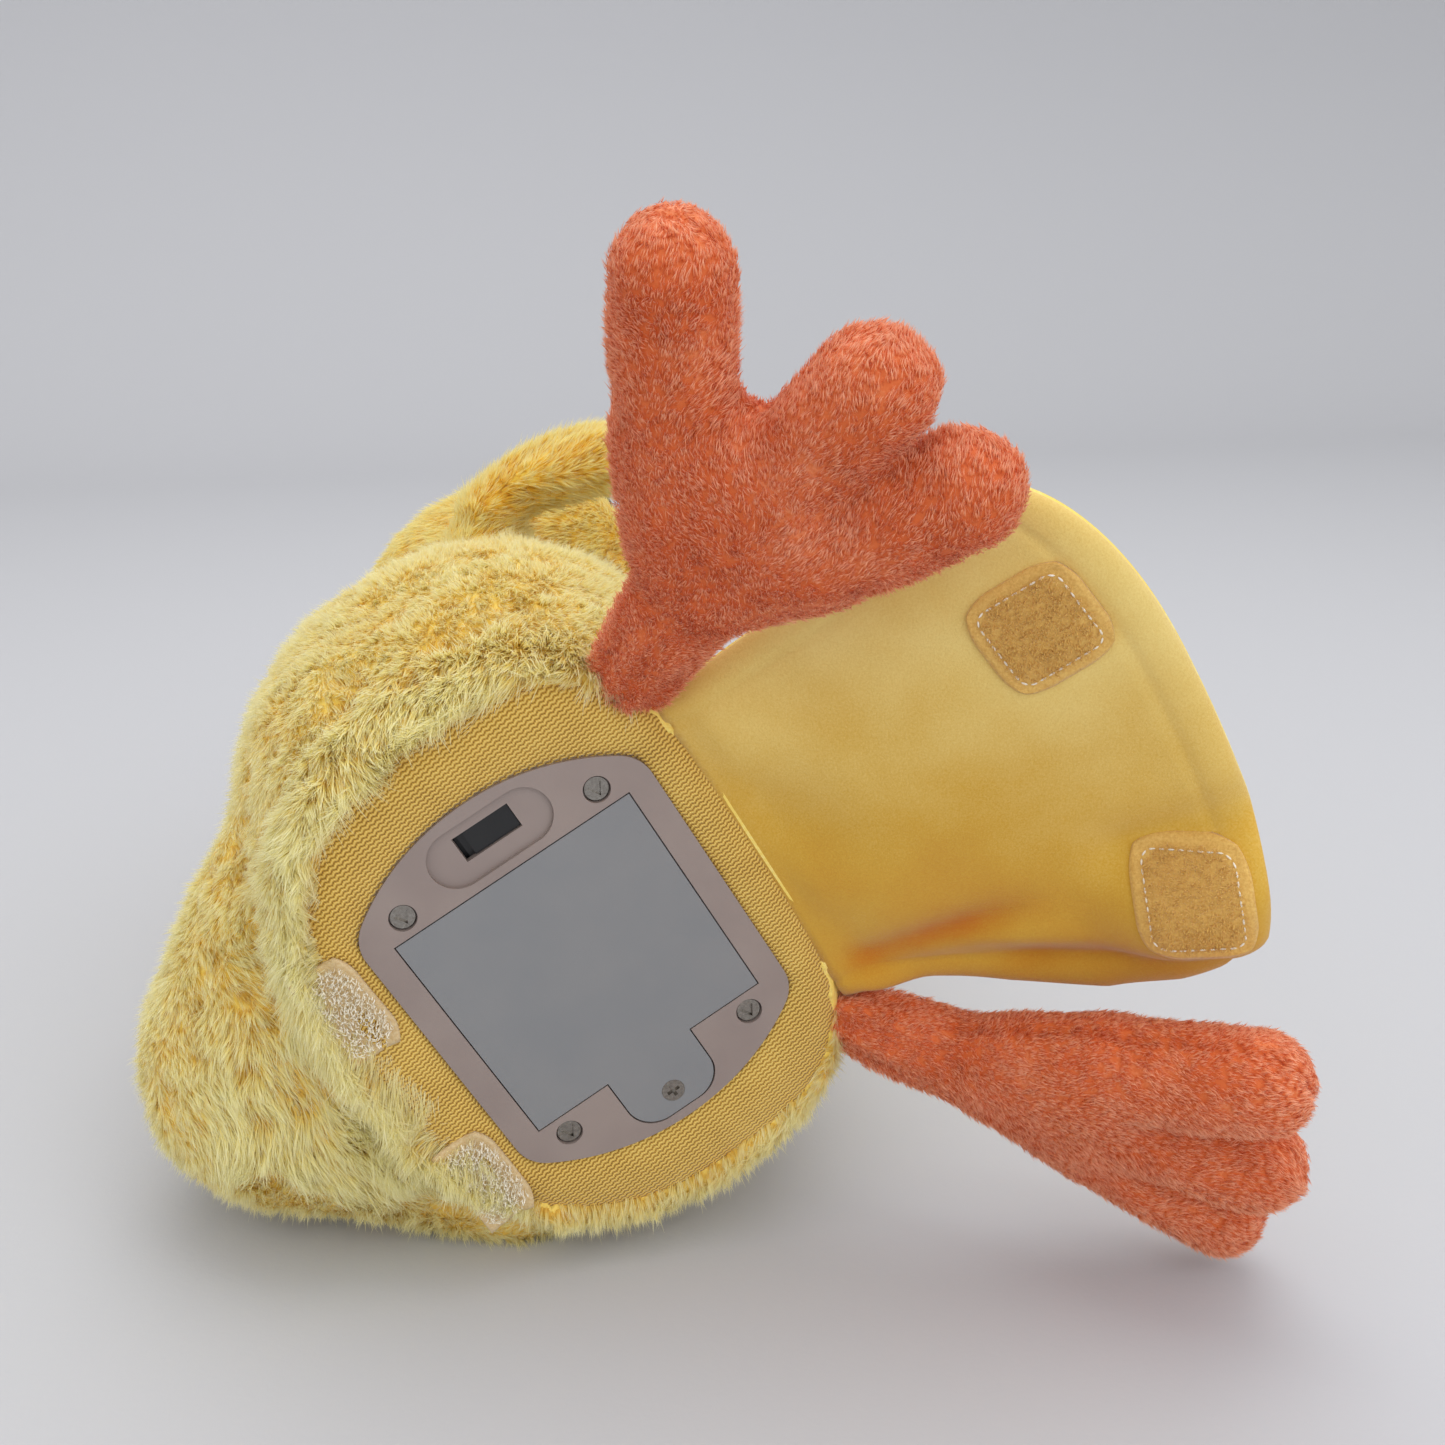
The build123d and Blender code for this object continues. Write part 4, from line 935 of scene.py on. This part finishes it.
def flapWidth(s, v):
    left = np.interp(v, (0, 14, 30, 50, 66, 80), (45, 50.5, 58.5, 66.5, 68.5, 68.0))
    right = np.interp(v, (0, 34, 60, 80), (42, 48, 56, 57))
    return np.where(s > 0, left, right)


def flapLength(s):
    power, side = flap["corner"], np.where(s > 0, 68.0, 62.0)
    return side + (flap["length"] - side) * (1 - np.abs(s) ** power) ** (1 / power)


def flapPlace(s, t):  # s across from -1 to 1, t from the seam to the free edge
    v = t * (flapLength(s) + flap["tucked"]) - flap["tucked"]
    return s * flapWidth(s, v), v


def feltFold(u, v):  # the two soft creases near the lower edge, 1 at their deepest
    first = np.exp(-(((u - 36 - v / 30) / 4.5) ** 2)) * smooth((v + 2) / 8) * smooth((58 - v) / 30)
    second = np.exp(-(((u - 54 - (v - 50) / 6) / 4.5) ** 2)) * smooth((v - 26) / 14) * smooth((84 - v) / 14)
    return first + 0.6 * second


def flapHeight(u, v):  # the felt's folds, in mm towards the base
    rise = flap["curl"] * smooth((u - 30) / 18) * smooth((v - 52) / 20)
    dropAt = np.interp(v, (0, 30, 60, 80), (34, 40, 52, 56))
    drop = (flap["fold"] + rise * 0.7) * smooth((u - dropAt) / 9) * smooth(v / 14)
    valley = 2.4 * np.exp(-(((u - 30) / 5) ** 2)) * smooth((v - 58) / 12) + 2.4 * feltFold(u, v)
    gathers = 1.2 * np.sin(u / 6.5 - v / 13) * smooth((34 - v) / 34) * smooth(v / 5)
    wave = 1.8 * np.sin(u / 15 + v / 24 + 0.6) * smooth(v / 26) + gathers
    cup = -3.0 * (np.abs(u) / 54) ** 2 * smooth(v / 40) * (u < 0)
    return rise - drop - valley + wave + cup


def flapGrid():  # places across and down the flap, closer together near its edges
    turn = np.linspace(-math.pi / 2, math.pi / 2, flap["columns"])
    s = np.sin(turn)[:, None] * np.ones(flap["rows"])
    t = np.ones(flap["columns"])[:, None] * np.sin(np.linspace(0, math.pi / 2, flap["rows"]))
    return flapPlace(s * (1 - 1e-4), t)


def gridFaces(columns, rows, start=0, turned=False):
    faces = []
    for i in range(columns - 1):
        for j in range(rows - 1):
            corner = start + i * rows + j
            face = [corner, corner + rows, corner + rows + 1, corner + 1]
            faces.append(face[::-1] if turned else face)
    return faces


def slabFaces(columns, rows):  # a grid, the same grid below it and the wall round both
    count = columns * rows
    border = [i * rows for i in range(columns)] + [(columns - 1) * rows + j for j in range(1, rows)]
    border += [i * rows + rows - 1 for i in range(columns - 2, -1, -1)] + list(range(rows - 2, 0, -1))
    wall = [[a, b, b + count, a + count] for a, b in zip(border, border[1:] + border[:1])]
    return gridFaces(columns, rows) + gridFaces(columns, rows, count, True) + wall


def rimDistance(u, v):  # how far a place on the flap is from its sewn edge
    s = np.clip(u / flapWidth(u, v), -1, 1)
    return np.clip(np.minimum((1 - np.abs(s)) * 56, flapLength(s) - v), 0, 99)


def rolledEdge(edge):  # how far the felt turns down towards its rim
    return flap["edgeRoll"] * (1 - np.sqrt(1 - (1 - np.clip(edge / 6, 0, 1)) ** 2 * 0.98))


def feltTop(u, v):  # height of the felt under the patches
    u, v = np.asarray(u, float), np.asarray(v, float)
    return flapHeight(u, v) - rolledEdge(rimDistance(u, v))


def buildFlap(f):
    u, v = flapGrid()
    edge = rimDistance(u, v)
    seamLine = 0.55 * np.exp(-(((edge - 8.5) / 1.0) ** 2))
    face = flapHeight(u, v) - rolledEdge(edge) - seamLine
    flat = flapPoint(u, v, face).reshape(-1, 3)
    faces = gridFaces(f["columns"], f["rows"])
    # the fold attribute carries the painted shade in the felt's creases
    felt = piece("flapFelt", flat, faces, yellowFelt, {"fold": feltFold(u, v).ravel()})
    if (normalsOf(flat, faces) @ flapAxes[2]).mean() < 0:
        felt.data.flip_normals()
    clothBehind(felt, 1.2)
    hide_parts("flap_felt")
    top = face - 1.0
    belly = (f["thickness"] - f["edgeRoll"]) * np.sqrt(1 - (1 - np.clip(edge / 9, 0, 1)) ** 2)
    under = np.minimum(flapHeight(u, v) - f["edgeRoll"] - belly, top - 0.3)
    both = np.concatenate([flapPoint(u, v, top).reshape(-1, 3), flapPoint(u, v, under).reshape(-1, 3)])
    faces = slabFaces(f["columns"], f["rows"])
    bare = np.zeros(u.size)
    length = 0.25 + 0.6 * np.concatenate([bare, smooth((edge.ravel() - 5) / 8)])
    backSide = np.concatenate([bare, smooth((edge.ravel() - 3) / 3)])
    comb = combedDown(both, faces, -flapAxes[1], 0.5)
    pile = pileOver(both, comb, pits(both, 9.0), length, backSide)
    back = piece("flapPlush", pressedFlat(both), faces, creamPlush, pile)
    stuffed(back, shortTuft, creamPlush, f["pile"], "flap_plush")
    bend = (toRow(flapPoint(0, -3.0)), toRow(flapPoint(0, 14.0)))
    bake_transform(back, "body", "flap", *bend)
    return felt, bend


patches = (
    {"name": "loopPatchRight", "node": "loop_patch_right", "at": (-25.0, 75.0), "turn": 9.0},
    {"name": "loopPatchLeft", "node": "loop_patch_left", "at": (43.0, 78.0), "turn": -15.0},
)
patch = {
    "size": 24.0, "corner": 4.5, "thickness": 0.9, "cells": 24,
    "stitchInset": 2.8, "stitchPitch": 2.0, "loopsPerSquareMm": 2.2,
}


def roundedSquare(a, b, half, corner):  # moves a square's grid point to its rounded outline
    x, y = a * half, b * half
    over = np.maximum(np.abs(a) + np.abs(b) - 1.35, 0) / 0.65
    shrink = 1 - over**1.5 * (corner * 0.42 / half)
    return x * shrink, y * shrink


def pathTree():  # copies of one small piece, set along a curve at a pitch
    tree = bpy.data.node_groups.new("setAlong", "GeometryNodeTree")
    tree.is_modifier = True
    for name, kind in (("Path", "Geometry"), ("Piece", "Object"), ("Pitch", "Float"), ("Finish", "Material")):
        tree.interface.new_socket(name, in_out="INPUT", socket_type="NodeSocket" + kind)
    tree.interface.new_socket("Set", in_out="OUTPUT", socket_type="NodeSocketGeometry")
    given = addNode(tree, "NodeGroupInput").outputs
    curve = addNode(tree, "GeometryNodeMeshToCurve", Mesh=given["Path"]).outputs[0]
    spots = addNode(tree, "GeometryNodeCurveToPoints", {"mode": "LENGTH"}, Curve=curve, Length=given["Pitch"])
    copy = addNode(tree, "GeometryNodeObjectInfo", Object=given["Piece"]).outputs["Geometry"]
    where, way = spots.outputs["Points"], spots.outputs["Rotation"]
    laid = addNode(tree, "GeometryNodeInstanceOnPoints", Points=where, Instance=copy, Rotation=way).outputs[0]
    whole = addNode(tree, "GeometryNodeRealizeInstances", Geometry=laid).outputs[0]
    dressed = addNode(tree, "GeometryNodeSetMaterial", Geometry=whole, Material=given["Finish"])
    addNode(tree, "NodeGroupOutput", Set=dressed.outputs[0])
    return tree


alongPath = pathTree()


def setAlong(name, path, copied, pitch, material):  # path in toy mm, closed
    line = bpy.data.meshes.new(name)
    count = len(path)
    line.from_pydata(toRow(path).tolist(), [(i, (i + 1) % count) for i in range(count)], [])
    holder = bpy.data.objects.new(name, line)
    scene.collection.objects.link(holder)
    modifier = holder.modifiers.new("along", "NODES")
    modifier.node_group = alongPath
    values = {"Piece": copied, "Pitch": pitch / 1000, "Finish": material}
    giveInputs(modifier, alongPath, values)
    holder.data = evaluated(holder)
    holder.modifiers.clear()
    return holder


def stitchShape(name, length, radius):  # a short plump thread, long on Z
    points, faces = ellipsoid((0, 0, 0), (radius, radius, length / 2), fineness=1)
    made = bakedObject(name, points / 1000, faces)
    made.hide_render = True
    return made


def hookShape(name, height, width, ending):  # a bent filament, long on Z
    spine = ((0, 0), (0.05, 0.45), (0.25, 0.85), (0.6, 1.0)) + ending
    points = []
    for x, z in spine:
        reach = x * height * 0.7
        points += [(reach, -width / 2, z * height), (reach + width * 0.3, width / 2, z * height)]
    faces = [[2 * i, 2 * i + 1, 2 * i + 3, 2 * i + 2] for i in range(len(spine) - 1)]
    made = bakedObject(name, np.array(points) / 1000, faces)
    made.data.attributes.new("strand", "FLOAT", "POINT").data.foreach_set("value", [1.0] * len(points))
    made.hide_render = True
    return made


patchStitch = stitchShape("patchStitch", 1.5, 0.24)
napLoop = hookShape("napLoop", 1.0, 0.16, ((0.9, 0.5), (1.0, 0.0)))
tapeHook = hookShape("tapeHook", 1.5, 0.2, ((0.9, 0.75), (1.0, 0.5)))


def napOver(name, points, faces, copied, perSquareMm, material, seed):  # a field of loops or hooks
    bed = piece(name, points, faces, material, pileOver(points, np.zeros((len(points), 3))))
    pile = {"perSquareMm": perSquareMm, "lift": 1.0, "ruffle": 0.8, "clump": 3.0, "seed": seed}
    growPile(bed, copied, material, pile)
    keep = bmesh.new()
    keep.from_mesh(bed.data)
    mark = keep.verts.layers.float["strand"]
    bmesh.ops.delete(keep, geom=[v for v in keep.verts if v[mark] < 0.5], context="VERTS")
    keep.to_mesh(bed.data)
    keep.free()
    return bed


def thickened(name, top, columns, rows, thickness, way, material):  # a thin slab from its top grid
    below = top - np.asarray(way) * thickness
    return piece(name, np.concatenate([top, below]), slabFaces(columns, rows), material)


def buildPatch(which, p, bend):
    cells, half = p["cells"], p["size"] / 2
    turn = math.radians(which["turn"])

    def onFelt(x, y, above):
        u = which["at"][0] + x * math.cos(turn) - y * math.sin(turn)
        v = which["at"][1] + x * math.sin(turn) + y * math.cos(turn)
        return flapPoint(u, v, feltTop(u, v) + above)

    a, b = np.meshgrid(np.linspace(-1, 1, cells), np.linspace(-1, 1, cells), indexing="ij")
    x, y = roundedSquare(a, b, half, p["corner"])
    edge = np.minimum(half - np.abs(x), half - np.abs(y))
    pull = 0.35 * np.exp(-(((edge - p["stitchInset"]) / 0.7) ** 2))
    top = onFelt(x, y, p["thickness"] - pull - 0.25 * (1 - smooth(edge / 1.2))).reshape(-1, 3)
    base = thickened(which["name"], top, cells, cells, p["thickness"] + 0.3, flapAxes[2], loopTape)
    inner = (half - p["stitchInset"] + 0.6) / half
    x, y = roundedSquare(a, b, half * inner, p["corner"])
    field = onFelt(x, y, p["thickness"]).reshape(-1, 3)
    squares = gridFaces(cells, cells)
    nap = napOver(which["name"] + "Nap", field, squares, napLoop, p["loopsPerSquareMm"], loopTape, 61)
    cornerRadius = p["corner"] * 0.6
    reach = half - p["stitchInset"] - cornerRadius
    corner = []
    for quarter in range(4):
        cx = reach * (1 if quarter in (0, 3) else -1)
        cy = reach * (1 if quarter in (0, 1) else -1)
        for step in range(7):
            angle = math.pi / 2 * (quarter + step / 6)
            corner.append((cx + cornerRadius * math.cos(angle), cy + cornerRadius * math.sin(angle)))
    line = []
    for (x0, y0), (x1, y1) in zip(corner, corner[1:] + corner[:1]):
        steps = max(1, int(math.hypot(x1 - x0, y1 - y0) / 1.0))
        line += [(x0 + (x1 - x0) * k / steps, y0 + (y1 - y0) * k / steps) for k in range(steps)]
    path = np.array([onFelt(px, py, p["thickness"] + 0.05) for px, py in line])
    stitches = setAlong(which["name"] + "Stitches", path, patchStitch, p["stitchPitch"], clearNylon)
    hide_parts(which["node"])
    for made in (base, nap, stitches):
        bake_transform(made, "body", "flap", *bend)


feltPiece, flapBend = buildFlap(flap)
for which in patches:
    buildPatch(which, patch, flapBend)
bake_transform(feltPiece, "body", "flap", *flapBend)
print("flap done")

# ---- hook tabs, sewn into the back seam and lying on the panel ----
hookTab = {
    "size": (24.0, 13.0), "y": 44.5, "level": -0.2, "thickness": 0.9, "cells": (25, 14),
    "hooksPerSquareMm": 2.4, "hooked": 0.86, "places": ((-22.0, "Right"), (30.0, "Left")),
}


def buildHookTab(placeX, side, h):
    columns, rows = h["cells"]
    a, b = np.meshgrid(np.linspace(-1, 1, columns), np.linspace(-1, 1, rows), indexing="ij")
    halfX, halfY = h["size"][0] / 2, h["size"][1] / 2
    over = np.maximum(np.abs(a) - 0.55, 0) / 0.45
    taper = np.where(b < 0, 1 - 0.30 * over**2, 1.0)
    x = placeX + a * halfX
    y = h["y"] + np.where(b < 0, b * taper, b) * halfY
    curl = 1.8 * smooth((-b - 0.2) / 0.8) + 0.5 * np.sin(a * 3 + placeX) + 1.0 * smooth((b - 0.5) / 0.5)
    z = h["level"] - curl * 0.7
    top = np.stack([x, y, z], -1).reshape(-1, 3)
    base = thickened("hookTab" + side, top, columns, rows, h["thickness"], (0, 0, -1), hookTape)
    hookX = placeX + (x - placeX) * h["hooked"]
    hookY = h["y"] + (y - h["y"]) * h["hooked"] - 0.3
    field = np.stack([hookX, hookY, z - 0.05], -1).reshape(-1, 3)
    squares = gridFaces(columns, rows, 0, True)
    name, density = "hookTab" + side + "Hooks", h["hooksPerSquareMm"]
    hooks = napOver(name, field, squares, tapeHook, density, clearNylon, 71)
    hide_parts("hook_tab_" + side.lower())
    for made in (base, hooks):
        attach(made, "body")


for placeX, side in hookTab["places"]:
    buildHookTab(placeX, side, hookTab)
print("hook tabs done")

# ---- hard parts: the CAD nodes keep their shape and get their finishes ----
def mouldedPlastic(name, colour, other, roughness, texture=0.02, grit=0.25, specular=0.5):
    # injection-moulded ABS: an even satin skin with a faint spark-eroded grain and slight flow marks
    material, tree, surface = newMaterial(name, IOR=1.5)
    surface.inputs["Specular IOR Level"].default_value = specular
    place = objectMm(tree)
    cloud = noiseOf(tree, place, 18.0, 2.0)
    tree.links.new(ramp(tree, cloud, [(0.35, colour), (0.65, other)]), surface.inputs["Base Color"])
    fine = noiseOf(tree, place, grit, 2.0)
    tree.links.new(maths(tree, "MULTIPLY_ADD", fine, 0.12, roughness - 0.06), surface.inputs["Roughness"])
    bump(tree, surface, fine, texture)
    return material


def turnedMetal(name, colour, dark, roughness):
    # nickel-plated steel, barrel tumbled: bright with faint scratches
    material, tree, surface = newMaterial(name, Metallic=1.0)
    place = objectMm(tree)
    scratch = noiseOf(tree, place, 0.5, 4.0, 0.7)
    tree.links.new(ramp(tree, scratch, [(0.3, dark), (0.7, colour)]), surface.inputs["Base Color"])
    tree.links.new(maths(tree, "MULTIPLY_ADD", scratch, 0.2, roughness - 0.1), surface.inputs["Roughness"])
    bump(tree, surface, scratch, 0.015)
    return material


def boardMaterial():
    # glass-fibre circuit board: green solder mask over copper tracks
    material, tree, surface = newMaterial("greenSolderMask", Roughness=0.35)
    place = objectMm(tree)
    settings = {"distance": "MANHATTAN", "feature": "DISTANCE_TO_EDGE"}
    cells = addNode(tree, "ShaderNodeTexVoronoi", settings, Vector=place, Scale=0.3).outputs[0]
    tree.links.new(ramp(tree, cells, [(0.0, "#2E8B4A"), (0.12, "#1C5E33")]), surface.inputs["Base Color"])
    return material


def cellMaterial():
    # printed foil sleeve round a steel can: plain copper-coloured band and a dark body
    material, tree, surface = newMaterial("cellFoilSleeve", Roughness=0.3, Metallic=0.6)
    place = objectMm(tree, (0, basePlane, 0))
    along = addNode(tree, "ShaderNodeSeparateXYZ", Vector=place).outputs["Z"]
    grainy = noiseOf(tree, place, 0.8, 3.0)
    band = maths(tree, "PINGPONG", maths(tree, "DIVIDE", along, 60.0), 1.0)
    share = maths(tree, "MULTIPLY_ADD", grainy, 0.05, band)
    stops = [(0.0, "#2A2B2E"), (0.5, "#33353A"), (0.55, "#B87A3C"), (1.0, "#C08A48")]
    tree.links.new(ramp(tree, share, stops), surface.inputs["Base Color"])
    return material


finishes = {
    "white_shell": mouldedPlastic("whiteMouldedAbs", "#978880", "#90817A", 0.38),
    "grey_door": mouldedPlastic("greyMouldedAbs", "#868686", "#828384", 0.42),
    "black_plastic": mouldedPlastic("blackMouldedAcetal", "#0B0B0C", "#141415", 0.4),
    "inner_shell": mouldedPlastic("naturalMouldedAbs", "#D9D4C6", "#CEC8B8", 0.5),
    "gear_nylon": mouldedPlastic("whiteMouldedNylon", "#E9E6DC", "#DDD9CC", 0.45),
    "screw_steel": turnedMetal("nickelPlatedSteel", "#A39E96", "#7C766E", 0.24),
    "shaft_steel": turnedMetal("groundSilverSteel", "#C9CACC", "#94969A", 0.22),
    "cell_can": cellMaterial(),
    "board_green": boardMaterial(),
    "cone_paper": mouldedPlastic("pressedPaperCone", "#2B2622", "#37312C", 0.85, 0.15, 0.6, 0.2),
    "eye_black": mouldedPlastic("polishedBlackAcrylic", "#050506", "#08080A", 0.06, 0.001, 2.0),
}
slotOf = {s["node"]: s.get("material_slot") for s in frame["record"].get("subparts", [])}
for name, node in nodes.items():
    if node.hide_render:
        continue
    finish = finishes.get(slotOf.get(name))
    if finish is None:
        print("no finish for", name, slotOf.get(name))
        continue
    node.data.materials.clear()
    node.data.materials.append(finish)
print("hard parts done")
